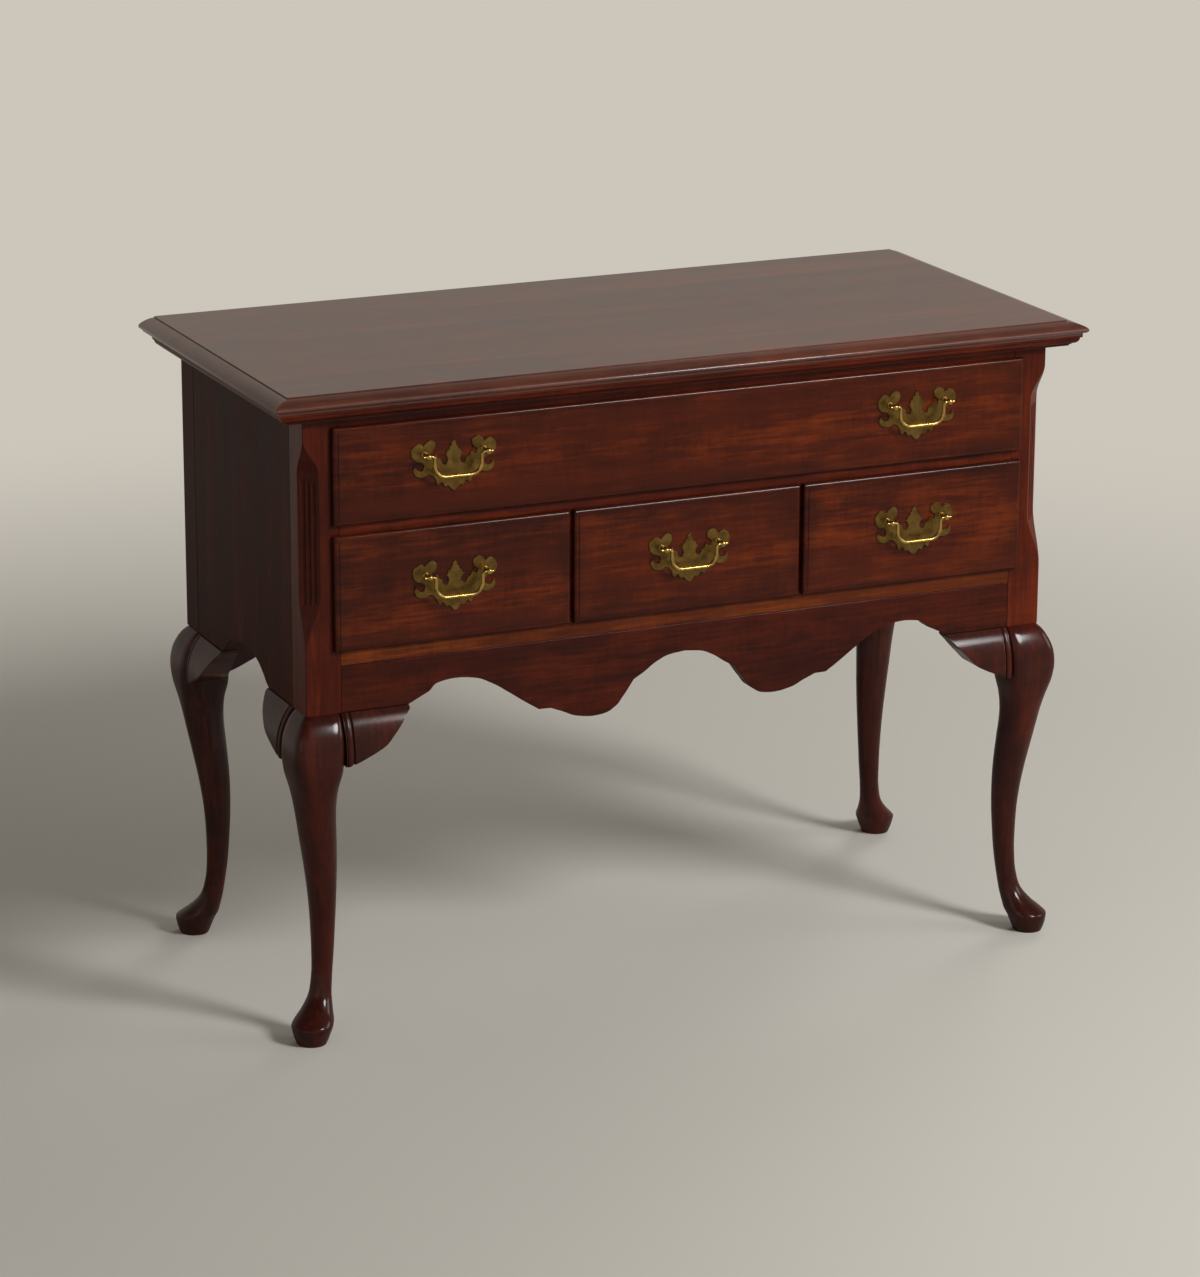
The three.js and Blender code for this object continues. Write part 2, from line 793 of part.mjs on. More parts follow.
// The case.
add("top_board", topBoard(), "top");
add("top_moulding", topMoulding(), "shell");
for (const side of [-1, 1]) {
  add(cornerName("post", side, -1), frontPost(side), "shell");
  add(cornerName("post", side, 1), backPost(side), "shell");
  add(`side_panel_${side < 0 ? "left" : "right"}`, sidePanel(side), "shell");
  add(`divider_${side < 0 ? "left" : "right"}`, divider((side * shortPitch) / 2), "shell");
  for (const end of [-1, 1]) {
    add(cornerName("leg", side, end), leg(side, end), "leg");
    add(cornerName("knee_block_long", side, end), kneeBlock(side, end, true), "leg");
    add(cornerName("knee_block_short", side, end), kneeBlock(side, end, false), "leg");
  }
}
const railFront = caseFront + topRailDepth;
add("top_rail", box(-railHalf, railHalf, caseFront, railFront, longTop, caseTop), "front");
const boardBack = panelFront - gap;
add("middle_board", box(-railHalf, railHalf, caseFront, boardBack, shortTop, longFoot), "front");
add("lower_board", box(-railHalf, railHalf, caseFront, boardBack, boardFoot, shortFoot), "rail");
add("front_apron", frontApron(), "rail");
add("back_apron", backApron(), "shell");
const panelFoot = boardFoot + gap;
add("back_panel", box(-railHalf, railHalf, panelFront, panelBack, panelFoot, caseTop), "inside");

// The drawers, from the openings that the posts, boards and dividers leave.
const longSpan = { x0: -innerHalf, x1: innerHalf, z0: longFoot, z1: longTop };
const longPlaces = [longPullInset - innerHalf, innerHalf - longPullInset];
const drawers = [{ name: "drawer_top", opening: longSpan, drop: longPullDrop, places: longPlaces }];
["left", "middle", "right"].forEach((word, index) => {
  const middle = (index - 1) * shortPitch;
  const opening = { x0: middle - shortWidth / 2, x1: middle + shortWidth / 2, z0: shortFoot, z1: shortTop };
  drawers.push({ name: `drawer_${word}`, opening, drop: shortPullDrop, places: [middle] });
});
for (const { name, opening, drop, places } of drawers) {
  const pulls = places.map((x) => ({ x, z: opening.z1 - drop }));
  add(`${name}_front`, drawerFront(opening, pulls), "front");
  add(`${name}_box`, drawerBox(opening), "inside");
  add(`${name}_bottom`, drawerBottom(opening), "inside");
  pulls.forEach((pull, index) => {
    const stem = places.length > 1 ? `${name}_pull_${index + 1}` : `${name}_pull`;
    add(`${stem}_plate`, pullPlate(pull), "plate");
    add(`${stem}_bail`, bail(pull), "bail");
    for (const side of [-1, 1]) {
      const word = side < 0 ? "left" : "right";
      add(`${stem}_post_${word}`, pullPost(pull.x + (side * pullCentres) / 2, pull.z), "bail");
    }
  });
}

export default lowboy;
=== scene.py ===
# %% [markdown]
# # A lowboy, piece by piece
# A lowboy is a low chest of drawers on tall curved legs. Its construction comes in as a fixed frame:
# plain solids with their real sizes, places and joints. This lesson gives each of them its finished
# surface, and every finished piece rides on the body whose solid it stands for.

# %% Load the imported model
import json
import math

import bpy
import numpy as np
from mathutils import Matrix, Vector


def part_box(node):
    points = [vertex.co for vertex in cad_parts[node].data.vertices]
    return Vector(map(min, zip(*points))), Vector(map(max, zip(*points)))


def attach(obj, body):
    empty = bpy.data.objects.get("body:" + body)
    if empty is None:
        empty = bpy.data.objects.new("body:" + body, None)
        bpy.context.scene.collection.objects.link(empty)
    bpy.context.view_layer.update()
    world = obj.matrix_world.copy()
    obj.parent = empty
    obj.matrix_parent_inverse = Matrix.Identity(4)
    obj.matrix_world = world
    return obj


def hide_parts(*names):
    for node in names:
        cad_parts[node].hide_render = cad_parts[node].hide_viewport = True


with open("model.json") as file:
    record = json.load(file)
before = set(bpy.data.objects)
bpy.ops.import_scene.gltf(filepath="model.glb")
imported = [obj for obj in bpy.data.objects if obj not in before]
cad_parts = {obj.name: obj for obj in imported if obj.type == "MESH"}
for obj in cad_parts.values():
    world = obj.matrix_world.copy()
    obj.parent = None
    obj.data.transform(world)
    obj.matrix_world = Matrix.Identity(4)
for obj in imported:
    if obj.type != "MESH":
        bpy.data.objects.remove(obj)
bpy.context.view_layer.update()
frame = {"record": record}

# %% [markdown]
# ## Where each piece belongs
# The imported record names the body that a node rides on and the slot of its finish. Looking up
# the body by the node's name keeps every later cell short, and no piece can end on the wrong body.

# %% Look up bodies and boxes
MM = 0.001
# Solids that touch keep this much apart.
GAP = 0.3 * MM
X, Y, Z = 0, 1, 2
record = frame["record"]
home = {node: body for body, nodes in record["behaviour"]["bodies"].items() for node in nodes}


def extent(node):
    """Lowest and highest corner of a node, as two arrays in metres."""
    low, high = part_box(node)
    return np.array(low), np.array(high)


def settle(piece, node, material):
    """The piece rides where the node rides, stands for it, and takes this finish."""
    piece.data.materials.append(material)
    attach(piece, home[node])
    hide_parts(node)
    return piece


# %% [markdown]
# ## Surfaces from arrays
# Nearly every piece here is a row of rings: a moulding is one outline carried past its corners, and
# a leg is a round section that swells and shrinks. Numpy works out all the points at once, and one
# function turns an array of rings into a closed mesh.

# %% Rings to a mesh
CREASE = math.radians(32)


def added(name, data):
    """A new object at the origin of the scene, from this mesh, lamp or camera."""
    thing = bpy.data.objects.new(name, data)
    bpy.context.scene.collection.objects.link(thing)
    return thing


def skin(name, rings, crease=CREASE):
    """Closed surface through an array of m rings of n points: a quad between each pair of
    neighbours, and one flat face across the first ring and the last. Where the signed volume,
    a third of the sum of each face's area vector times its place, is negative, the rings run the
    wrong way round and are turned."""
    rings = np.asarray(rings, float)
    if enclosed(rings) < 0:
        rings = rings[:, ::-1]
    count, sides, _ = rings.shape
    index = np.arange(count * sides).reshape(count, sides)
    after = np.roll(index, -1, axis=1)
    quads = np.stack([index[:-1], after[:-1], after[1:], index[1:]], axis=-1).reshape(-1, 4)
    faces = quads.tolist() + [index[0][::-1].tolist(), index[-1].tolist()]
    mesh = bpy.data.meshes.new(name)
    mesh.from_pydata(rings.reshape(-1, 3).tolist(), [], faces)
    mesh.polygons.foreach_set("use_smooth", np.ones(len(faces), bool))
    mesh.set_sharp_from_angle(angle=crease)
    mesh.update()
    return added(name, mesh)


def enclosed(rings):
    """Six times the signed volume inside the rings and their two end faces."""
    after = np.roll(rings, -1, axis=1)
    a, b, c, d = rings[:-1], after[:-1], after[1:], rings[1:]
    walls = np.sum(a * np.cross(b, c)) + np.sum(a * np.cross(c, d))
    first = -np.sum(rings[0][0] * np.cross(rings[0], after[0]).sum(axis=0))
    last = np.sum(rings[-1][0] * np.cross(rings[-1], after[-1]).sum(axis=0))
    return walls + first + last


# %% [markdown]
# A curve drawn through a few chosen points stays easy to change. The line below is cubic between
# the points, and its slope at each point comes from the two neighbours.

# %% Smooth line through a few points
def smooth_line(points, count):
    """Cubic line through a few points, one per row, at count even steps along it. The slope at a
    point is the change between its neighbours over the distance covered."""
    points = np.asarray(points, float)
    steps = np.linalg.norm(np.diff(points, axis=0), axis=1)
    reach = np.concatenate([[0], np.cumsum(steps)])
    slope = np.gradient(points, reach, axis=0)
    place = np.linspace(0, reach[-1], count)
    first = np.clip(np.searchsorted(reach, place, side="right") - 1, 0, len(points) - 2)
    span = (reach[first + 1] - reach[first])[:, None]
    t = (place - reach[first])[:, None] / span
    near = (1 + 2 * t) * (1 - t) ** 2 * points[first] + t * (1 - t) ** 2 * span * slope[first]
    far = t**2 * (3 - 2 * t) * points[first + 1] + t**2 * (t - 1) * span * slope[first + 1]
    return near + far


def ramp(value, start, end):
    """Rises from 0 at start to 1 at end, level at both: 3 t squared minus 2 t cubed."""
    t = np.clip((value - start) / (end - start), 0, 1)
    return t * t * (3 - 2 * t)


# %% [markdown]
# Boards are flat outlines with thickness. A worn edge is never razor sharp, so a Bevel modifier
# rounds every corner of a board by about a millimetre, which is what catches the light.

# %% Boards with eased edges
EASE, EASE_SEGMENTS, EASE_ANGLE = 0.8 * MM, 2, math.radians(40)


def board(name, outline, axis, low, high):
    """Outline of points on the two other axes, carried from low to high along this axis."""
    outline = np.asarray(outline, float)
    others = [other for other in (X, Y, Z) if other != axis]
    rings = np.empty((2, len(outline), 3))
    rings[:, :, others] = outline
    rings[0, :, axis] = low
    rings[1, :, axis] = high
    piece = skin(name, rings)
    bevel = piece.modifiers.new("eased edges", "BEVEL")
    bevel.width = EASE
    bevel.segments = EASE_SEGMENTS
    bevel.limit_method = "ANGLE"
    bevel.angle_limit = EASE_ANGLE
    bevel.harden_normals = True
    return piece


def plain_board(node, material, axis):
    """A board that fills its node's box."""
    low, high = extent(node)
    a, b = [other for other in (X, Y, Z) if other != axis]
    corners = [(low[a], low[b]), (high[a], low[b]), (high[a], high[b]), (low[a], high[b])]
    piece = board(f"{node}_finish", corners, axis, low[axis], high[axis])
    return settle(piece, node, material)


# %% [markdown]
# ## Shader maths in Python
# Materials are node trees. The small class below wraps one output socket, and arithmetic on it
# adds Math nodes, so a mask reads as a formula. Any other node comes from one function.

# %% Sockets that can be added and multiplied
class Sock:
    """One output of a node. Arithmetic on it adds a Math node and gives its output."""

    def __init__(self, tree, socket):
        self.tree = tree
        self.socket = socket

    def maths(self, operation, *others):
        """A Math node that works on this socket and the others, in their order."""
        values = dict(enumerate((self, *others)))
        return make(self.tree, "ShaderNodeMath", {"operation": operation}, values)

    def output(self, name):
        """Another output of the same node."""
        return Sock(self.tree, self.socket.node.outputs[name])

    def __add__(self, other):
        return self.maths("ADD", other)

    def __sub__(self, other):
        return self.maths("SUBTRACT", other)

    def __rsub__(self, other):
        return self * -1 + other

    def __mul__(self, other):
        return self.maths("MULTIPLY", other)

    def __abs__(self):
        return self.maths("ABSOLUTE")

    __radd__ = __add__
    __rmul__ = __mul__


def make(tree, kind, settings=None, inputs=None, output=0):
    """Adds a node, sets it up, then fills its sockets with values or links. Gives one output."""
    node = tree.nodes.new(kind)
    for name, value in (settings or {}).items():
        setattr(node, name, value)
    for key, value in (inputs or {}).items():
        if isinstance(value, Sock):
            tree.links.new(value.socket, node.inputs[key])
        else:
            node.inputs[key].default_value = value
    return Sock(tree, node.outputs[output]) if len(node.outputs) else None


# %% [markdown]
# Colours are given on the usual screen scale, while shaders work with linear light. The
# other helpers stand for the few nodes that every finish is made of.

# %% Nodes that every finish uses
BUMP_STRENGTH = 0.1


def colour(red, green, blue):
    """A colour on the usual 0 to 255 scale, as the linear values that shaders use."""
    shares = np.array([red, green, blue]) / 255
    linear = np.where(shares > 0.04045, ((shares + 0.055) / 1.055) ** 2.4, shares / 12.92)
    return (*linear.tolist(), 1.0)


def blended(tree, factor, first, second):
    """Colour that goes from first to second as the factor goes from 0 to 1."""
    return make(tree, "ShaderNodeMix", {"data_type": "RGBA"}, {0: factor, 6: first, 7: second}, 2)


def noise(tree, vector, scale, detail=3.0, roughness=0.55, distortion=0.0):
    """Fractal noise between 0 and 1, with this many swells to the metre."""
    inputs = {"Vector": vector, "Scale": scale, "Detail": detail}
    inputs.update({"Roughness": roughness, "Distortion": distortion})
    return make(tree, "ShaderNodeTexNoise", None, inputs)


def spread(tree, value, low, high):
    """0 below low and 1 above high, with a smooth step between."""
    settings = {"interpolation_type": "SMOOTHSTEP"}
    return make(tree, "ShaderNodeMapRange", settings, {0: value, 1: low, 2: high})


def bumped(tree, height, depth):
    """The normal of a surface that stands this much higher where the height is 1."""
    inputs = {"Strength": BUMP_STRENGTH, "Distance": depth, "Height": height}
    return make(tree, "ShaderNodeBump", None, inputs)


def empty_material(name):
    """A new material and its node tree, which is still empty."""
    material = bpy.data.materials.new(name)
    material.use_nodes = True
    material.node_tree.nodes.clear()
    return material, material.node_tree


def surface(tree, values, links):
    """A Principled shader with fixed values and varying links, wired to the output."""
    shader = make(tree, "ShaderNodeBsdfPrincipled", None, {**values, **links})
    make(tree, "ShaderNodeOutputMaterial", None, {"Surface": shader})


# %% [markdown]
# ## Stained and lacquered wood
# The case is a close-grained wood under a dark red-brown stain. Its grain could come from a
# photograph, but a pattern that is worked out has no seams and can be cut along any axis. The same
# noise is stretched along the grain for the broad figure, for fine streaks and for pores. A last
# one is stretched across it, for the faint bars that such wood shows under stain. The edges of
# each drawer front are stained darker too, by a mask of the distance to the nearest edge.

# %% Wood finish
GRAIN_STRETCH, BAR_STRETCH = 0.08, 0.25
FIGURE_SCALE, SECOND_SCALE, STREAK_SCALE, PORE_SCALE = 13, 29.9, 190, 900
PATCH_SCALE, BAR_SCALE = 14, 170
# Each pair: where a sum of noises starts to count, and where it counts in full.
STAIN_RANGE, GLOW_RANGE, PORE_RANGE = (0.31, 0.6), (0.46, 0.68), (0.56, 0.74)
GLOW_STRENGTH, PORE_STRENGTH, TONER_STRENGTH = 0.75, 0.35, 0.3
TONER, TONER_WIDTH = colour(26, 8, 4), 30 * MM
COAT_ROUGHNESS, GRAIN_DEPTH = 0.14, 0.3 * MM


def edge_mask(tree, place, low, high, width):
    """1 at the edges of a front and 0 from width inwards, from the nearest edge across X or Z."""
    parts = make(tree, "ShaderNodeSeparateXYZ", None, {0: place})
    across, upright = parts.output("X"), parts.output("Z")
    middle = (low + high) / 2
    half = (high - low) / 2
    to_end = float(half[X]) - abs(across - float(middle[X]))
    to_top = float(half[Z]) - abs(upright - float(middle[Z]))
    nearest = to_end.maths("SMOOTH_MIN", to_top, width / 2)
    return 1 - spread(tree, nearest, 0.0, width)


def wood(name, tones, along, gloss, level=0.03, toned=None, shift=0.0):
    """Wood with its grain along one axis, in three tones from dark to light. Gloss is the weight of
    its lacquer coat and level its own shine. Toned is the pair of corners of a front with darker
    edges, and shift slides the pattern, so that no two fronts are alike."""
    dark, base, light = tones
    material, tree = empty_material(name)
    place = make(tree, "ShaderNodeTexCoord", output=3)
    stretch, bar_stretch = [1.0] * 3, [BAR_STRETCH] * 3
    stretch[along], bar_stretch[along] = GRAIN_STRETCH, 1.0
    moved = (shift, shift * 0.7, shift * 1.3)
    placing = {"Vector": place, "Location": moved, "Scale": stretch}
    grain = make(tree, "ShaderNodeMapping", None, placing)
    crossed = make(tree, "ShaderNodeMapping", None, {"Vector": place, "Scale": bar_stretch})
    figure = noise(tree, grain, FIGURE_SCALE, 4, 0.55, 0.5)
    second = noise(tree, grain, SECOND_SCALE, 3, 0.55, 0.3)
    streaks = noise(tree, grain, STREAK_SCALE, 4, 0.6)
    pores = noise(tree, grain, PORE_SCALE, 2, 0.5)
    patches = noise(tree, place, PATCH_SCALE, 3, 0.55)
    bars = noise(tree, crossed, BAR_SCALE, 3, 0.6)
    body = figure * 0.38 + patches * 0.22 + streaks * 0.3 + bars * 0.1
    stained = blended(tree, spread(tree, body, *STAIN_RANGE), dark, base)
    glow = second * 0.42 + streaks * 0.3 + patches * 0.2 + bars * 0.08
    lit = blended(tree, spread(tree, glow, *GLOW_RANGE) * GLOW_STRENGTH, stained, light)
    pored = blended(tree, spread(tree, pores, *PORE_RANGE) * PORE_STRENGTH, lit, dark)
    if toned is not None:
        mask = edge_mask(tree, place, *toned, TONER_WIDTH)
        pored = blended(tree, mask * TONER_STRENGTH, pored, TONER)
    bump = bumped(tree, streaks * 0.4 + pores * 0.6, GRAIN_DEPTH)
    rough = 0.42 + patches * 0.12 + streaks * 0.06
    values = {"Coat Weight": gloss, "Coat Roughness": COAT_ROUGHNESS, "Specular IOR Level": level}
    surface(tree, values, {"Base Color": pored, "Roughness": rough, "Normal": bump})
    return material


# %% [markdown]
# ## Aged brass
# The plates are cast brass that has gone brown in the hollows, and the bails are rubbed bright
# where hands take them. Both are metal with a slightly uneven colour; only the tones differ.

# %% Brass finish
CLOUD_SCALE, SPECK_SCALE = 120, 900
TONE_RANGE = (0.25, 0.8)
CAST_DEPTH = 0.2 * MM


def brass(name, deep, bright, rough):
    """Metal that goes from deep to bright with a coarse and a fine noise, and is rougher where
    the coarse one is high."""
    material, tree = empty_material(name)
    place = make(tree, "ShaderNodeTexCoord", output=3)
    cloud = noise(tree, place, CLOUD_SCALE, 4, 0.6)
    speck = noise(tree, place, SPECK_SCALE, 2, 0.5)
    tone = spread(tree, cloud * 0.7 + speck * 0.3, *TONE_RANGE)
    tint = blended(tree, tone, deep, bright)
    bump = bumped(tree, speck, CAST_DEPTH)
    links = {"Base Color": tint, "Roughness": rough + cloud * 0.16, "Normal": bump}
    surface(tree, {"Metallic": 1.0}, links)
    return material


# %% [markdown]
# Each wood below is three tones, from the bottom of the grain to its brightest streaks, then the
# way of the grain and the weight of the lacquer. The ends and the back are duller than the front,
# and their tones are darker: painted shade, for the shade that falls on the left end. The inner
# parts are plain pale wood without any lacquer.

# %% Finishes of this chest
TOP_TONES = colour(50, 17, 7), colour(78, 31, 13), colour(110, 50, 22)
POST_TONES = colour(44, 11, 4), colour(78, 23, 6), colour(112, 40, 11)
# Painted shade: the tones of the ends are darker than the front's, for the shade on the left end;
# the back posts and back apron use the same tones.
SHADED_SIDE_TONES = colour(30, 9, 4), colour(50, 16, 7), colour(76, 28, 11)
LEG_TONES = colour(30, 7, 3), colour(52, 14, 5), colour(82, 25, 9)
FRONT_TONES = colour(42, 10, 3), colour(70, 21, 4), colour(112, 43, 9)
APRON_TONES = colour(36, 9, 4), colour(62, 17, 5), colour(90, 30, 9)
STRIP_TONES = colour(54, 18, 6), colour(88, 36, 9), colour(132, 62, 18)
PLAIN_TONES = colour(142, 106, 68), colour(176, 138, 94), colour(204, 170, 124)

top_wood = wood("top_wood", TOP_TONES, X, 0.45, 0.4)
post_wood = wood("post_wood", POST_TONES, Z, 0.2)
shaded_side_wood = wood("shaded_side_wood", SHADED_SIDE_TONES, Z, 0.03)
moulding_wood = wood("moulding_wood", POST_TONES, X, 0.2)
leg_wood = wood("leg_wood", LEG_TONES, Z, 0.35)
apron_wood = wood("apron_wood", APRON_TONES, X, 0.2)
strip_wood = wood("strip_wood", STRIP_TONES, X, 0.2)
blade_wood = wood("blade_wood", POST_TONES, X, 0.2)
plain_wood = wood("plain_wood", PLAIN_TONES, X, 0.0, 0.2)
plain_upright = wood("plain_upright", PLAIN_TONES, Y, 0.0, 0.2)
plate_brass = brass("plate_brass", colour(82, 62, 30), colour(128, 102, 54), 0.3)
bail_brass = brass("bail_brass", colour(140, 112, 58), colour(186, 154, 86), 0.2)

# %% [markdown]
# ## The moulded top
# The top board has a flat field, a small quirk, and then a long thumb that falls to a round nose.
# The back edge is left square. Each ring is a rectangle at its own height, drawn in on three sides.

# %% Top board
EDGE_INSET = 22 * MM
CORNER_ROUND = 1.2 * MM
CORNER_STEPS, NOSE_POINTS, THUMB_POINTS = 4, 14, 12
MOULD_CREASE = math.radians(24)
# Each pair: share of the inset, share of the thickness up from the underside.
EDGE_UNDER_SHARES = [(0.25, 0.0), (0.25, 0.16)]
EDGE_NOSE_SHARES = [(0.1, 0.2), (0.02, 0.3), (0.0, 0.42), (0.06, 0.54), (0.22, 0.67)]
EDGE_THUMB_SHARES = [(0.22, 0.67), (0.4, 0.77), (0.6, 0.85), (0.78, 0.9), (0.93, 0.92)]
EDGE_FIELD_SHARES = [(0.93, 0.985), (0.95, 1.0), (1.0, 1.0)]


def rounded_rectangles(insets, heights, half_width, front, back):
    """One rectangle per inset and height, drawn in on the front and both ends. Its corners are
    small quarter circles, and the points run round it from the back left corner."""
    turn = np.linspace(0, math.pi / 2, CORNER_STEPS)
    rings = []
    for side, end, start in ((-1, 1, 90), (-1, -1, 180), (1, -1, 270), (1, 1, 0)):
        angle = turn + math.radians(start)
        edge = front + insets if end < 0 else np.full_like(insets, back)
        x = side * (half_width - insets - CORNER_ROUND)[:, None] + CORNER_ROUND * np.cos(angle)
        y = (edge - end * CORNER_ROUND)[:, None] + CORNER_ROUND * np.sin(angle)
        rings.append(np.stack([x, y, np.broadcast_to(heights[:, None], x.shape)], axis=-1))
    return np.concatenate(rings, axis=1)


low, high = extent("top_board")
nose = smooth_line(EDGE_NOSE_SHARES, NOSE_POINTS)
thumb = smooth_line(EDGE_THUMB_SHARES, THUMB_POINTS)[1:]
edge_shares = np.clip(np.vstack([EDGE_UNDER_SHARES, nose, thumb, EDGE_FIELD_SHARES]), 0, 1)
edge_heights = low[Z] + (high[Z] - low[Z]) * edge_shares[:, 1]
edge_insets = EDGE_INSET * edge_shares[:, 0]
top_rings = rounded_rectangles(edge_insets, edge_heights, high[X], low[Y], high[Y])
top = settle(skin("top_finish", top_rings, MOULD_CREASE), "top_board", top_wood)
print("top board", len(top.data.polygons), "faces")

# %% [markdown]
# ## The moulding under the top
# A narrow moulding fills the corner between the top's overhang and the case: a fillet, a hollow
# and a last small step. It runs along the left end, the front and the right end, and its mitres
# come by themselves when the same outline is placed at each corner.

# %% Top moulding
MOULD_FOOT_INSET = 12 * MM
HOLLOW_POINTS = 10
# Each pair: share of the way in, share of the height down.
MOULD_SHARES = [(0.0, 0.0), (0.0, 0.17), (0.2, 0.21), (0.2, 0.33)]
MOULD_HOLLOW_SHARES = [(0.2, 0.33), (0.3, 0.52), (0.5, 0.68), (0.82, 0.78)]
MOULD_FOOT_SHARES = [(0.82, 0.85), (1.0, 0.9), (1.0, 1.0)]

low, high = extent("top_moulding")
post_low, _ = extent("post_front_left")
hollow = smooth_line(MOULD_HOLLOW_SHARES, HOLLOW_POINTS)[1:]
mould = np.vstack([MOULD_SHARES, hollow, MOULD_FOOT_SHARES])
drop = high[Z] - (high[Z] - low[Z]) * mould[:, 1]
sections = []
for side, end in ((-1, 1), (-1, -1), (1, -1), (1, 1)):
    inset = MOULD_FOOT_INSET * mould[:, 0]
    y = low[Y] + inset if end < 0 else np.full_like(inset, high[Y])
    outer = np.stack([side * (high[X] - inset), y, drop], axis=-1)
    inner_y = post_low[Y] - GAP if end < 0 else high[Y]
    inner_x = side * (GAP - post_low[X])
    inner = [(inner_x, inner_y, low[Z]), (inner_x, inner_y, high[Z])]
    sections.append(np.vstack([outer, inner]))
moulding = skin("top_moulding_finish", np.array(sections), MOULD_CREASE)
settle(moulding, "top_moulding", moulding_wood)
print("moulding", len(moulding.data.polygons), "faces")

# %% [markdown]
# ## Corner posts
# The front corners are cut across and carry three flutes. The cut fades out above and below in a
# long curve, the lamb's tongue, and leaves the post square at both ends. The section is a function
# of height alone, so one grid of heights and outline points gives the whole post.

# %% Fluted posts
CANT = 19.5 * MM
CORNER_EASE = 1.0 * MM
CANT_RISE, LOWER_TONGUE = 75 * MM, 70 * MM
CANT_DROP, UPPER_TONGUE = 38 * MM, 42 * MM
FLUTE_COUNT, FLUTE_DEPTH, FLUTE_RUNOUT = 3, 1.9 * MM, 5 * MM
FLUTE_FOOT_DROP, FLUTE_TOP_DROP = 14 * MM, 50 * MM
FLUTE_WIDTH_SHARE, FLUTE_PITCH_SHARE = 0.19, 0.24
FLUTE_POINTS = 9
LOWER_RINGS, UPPER_RINGS, RUNOUT_RINGS = 30, 24, 7


def flute_ends(foot, head):
    """Heights at which the flutes start and stop."""
    start = foot + CANT_RISE + LOWER_TONGUE - FLUTE_FOOT_DROP
    return start, head - CANT_DROP - FLUTE_TOP_DROP


def post_outline(heights, foot, head):
    """Section of a front post, counted inwards from its outer corner: for each height, the cut
    corner with its flutes, then the three square corners. A flute is half a sine deep."""
    rise = ramp(heights, foot + CANT_RISE, foot + CANT_RISE + LOWER_TONGUE)
    fall = 1 - ramp(heights, head - CANT_DROP - UPPER_TONGUE, head - CANT_DROP)
    across = CORNER_EASE + (CANT - CORNER_EASE) * np.minimum(rise, fall)
    flute_foot, flute_head = flute_ends(foot, head)
    inside = np.minimum(heights - flute_foot, flute_head - heights)
    depth = FLUTE_DEPTH * np.sqrt(np.clip(inside / FLUTE_RUNOUT, 0, 1))
    start = (1 - FLUTE_PITCH_SHARE * (FLUTE_COUNT - 1) - FLUTE_WIDTH_SHARE) / 2
    within = np.linspace(0, 1, FLUTE_POINTS)
    first = start + FLUTE_PITCH_SHARE * np.arange(FLUTE_COUNT)[:, None]
    along = np.concatenate([[0], (first + FLUTE_WIDTH_SHARE * within).ravel(), [1]])
    hollow = np.concatenate([[0], np.tile(np.sin(math.pi * within), FLUTE_COUNT), [0]])
    sunk = depth[:, None] * hollow / math.sqrt(2)
    return across[:, None] * along + sunk, across[:, None] * (1 - along) + sunk


def fluted_post(node):
    """Rings up the post, close together where the cut or a flute changes and nowhere else."""
    low, high = extent(node)
    side = 1 if low[X] + high[X] > 0 else -1
    wide, deep = (high - low)[:2]
    foot, head = low[Z], high[Z]
    flute_foot, flute_head = flute_ends(foot, head)
    ends = np.linspace(0, FLUTE_RUNOUT, RUNOUT_RINGS)
    lower = np.linspace(foot + CANT_RISE, foot + CANT_RISE + LOWER_TONGUE, LOWER_RINGS)
    upper = np.linspace(head - CANT_DROP - UPPER_TONGUE, head - CANT_DROP, UPPER_RINGS)
    stretches = [[foot, head], lower, upper, flute_foot + ends, flute_head - ends]
    heights = np.unique(np.concatenate(stretches))
    u, v = post_outline(heights, foot, head)
    square = np.array([(wide, 0), (wide, deep), (0, deep)])
    u = np.hstack([u, np.broadcast_to(square[:, 0], (len(heights), 3))])
    v = np.hstack([v, np.broadcast_to(square[:, 1], (len(heights), 3))])
    corner = high[X] if side > 0 else low[X]
    z = np.broadcast_to(heights[:, None], u.shape)
    piece = skin(f"{node}_finish", np.stack([corner - side * u, low[Y] + v, z], axis=-1))
    return settle(piece, node, post_wood)


for node in ("post_front_left", "post_front_right"):
    fluted_post(node)
for node in ("post_back_left", "post_back_right"):
    plain_board(node, shaded_side_wood, Z)

# %% [markdown]
# ## Cabriole legs
# A cabriole leg swells at the knee, narrows to the ankle and turns out into a pad foot. All four
# are the same shape, set on the diagonal of their corner. Two lines draw it: how far the leg
# stands out past the corner of the case, and how far it reaches in. The section between them is a
# circle at the ankle and grows squarer towards the knee, to meet the square post.

# %% Legs
KNEE_REACH = 21 * MM
POST_WIDTH = 43 * MM
LEG_RINGS, LEG_SIDES = 170, 64
KNEE_SQUARENESS, KNEE_SQUARE_FOOT_SHARE = 4, 0.7
# Each row: share of the leg's height, of the knee's reach outwards, of the post's width inwards.
LEG_SHARES = [
    (1, 0, 1),
    (0.985, 0.3, 1),
    (0.96, 0.6, 1),
    (0.93, 0.84, 1),
    (0.9, 0.96, 1),
    (0.87, 1, 1),
    (0.83, 0.95, 1),
    (0.775, 0.73, 0.92),
    (0.7, 0.47, 0.9),
    (0.62, 0.19, 0.94),
    (0.52, -0.15, 0.98),
    (0.42, -0.4, 0.97),
    (0.32, -0.51, 0.92),
    (0.25, -0.52, 0.87),
    (0.185, -0.44, 0.8),
    (0.13, -0.17, 0.74),
    (0.09, 0.42, 0.7),
    (0.066, 0.92, 0.67),
    (0.055, 1.1, 0.63),
    (0.042, 1.08, 0.58),
    (0.02, 0.98, 0.5),
    (0, 0.83, 0.42),
]


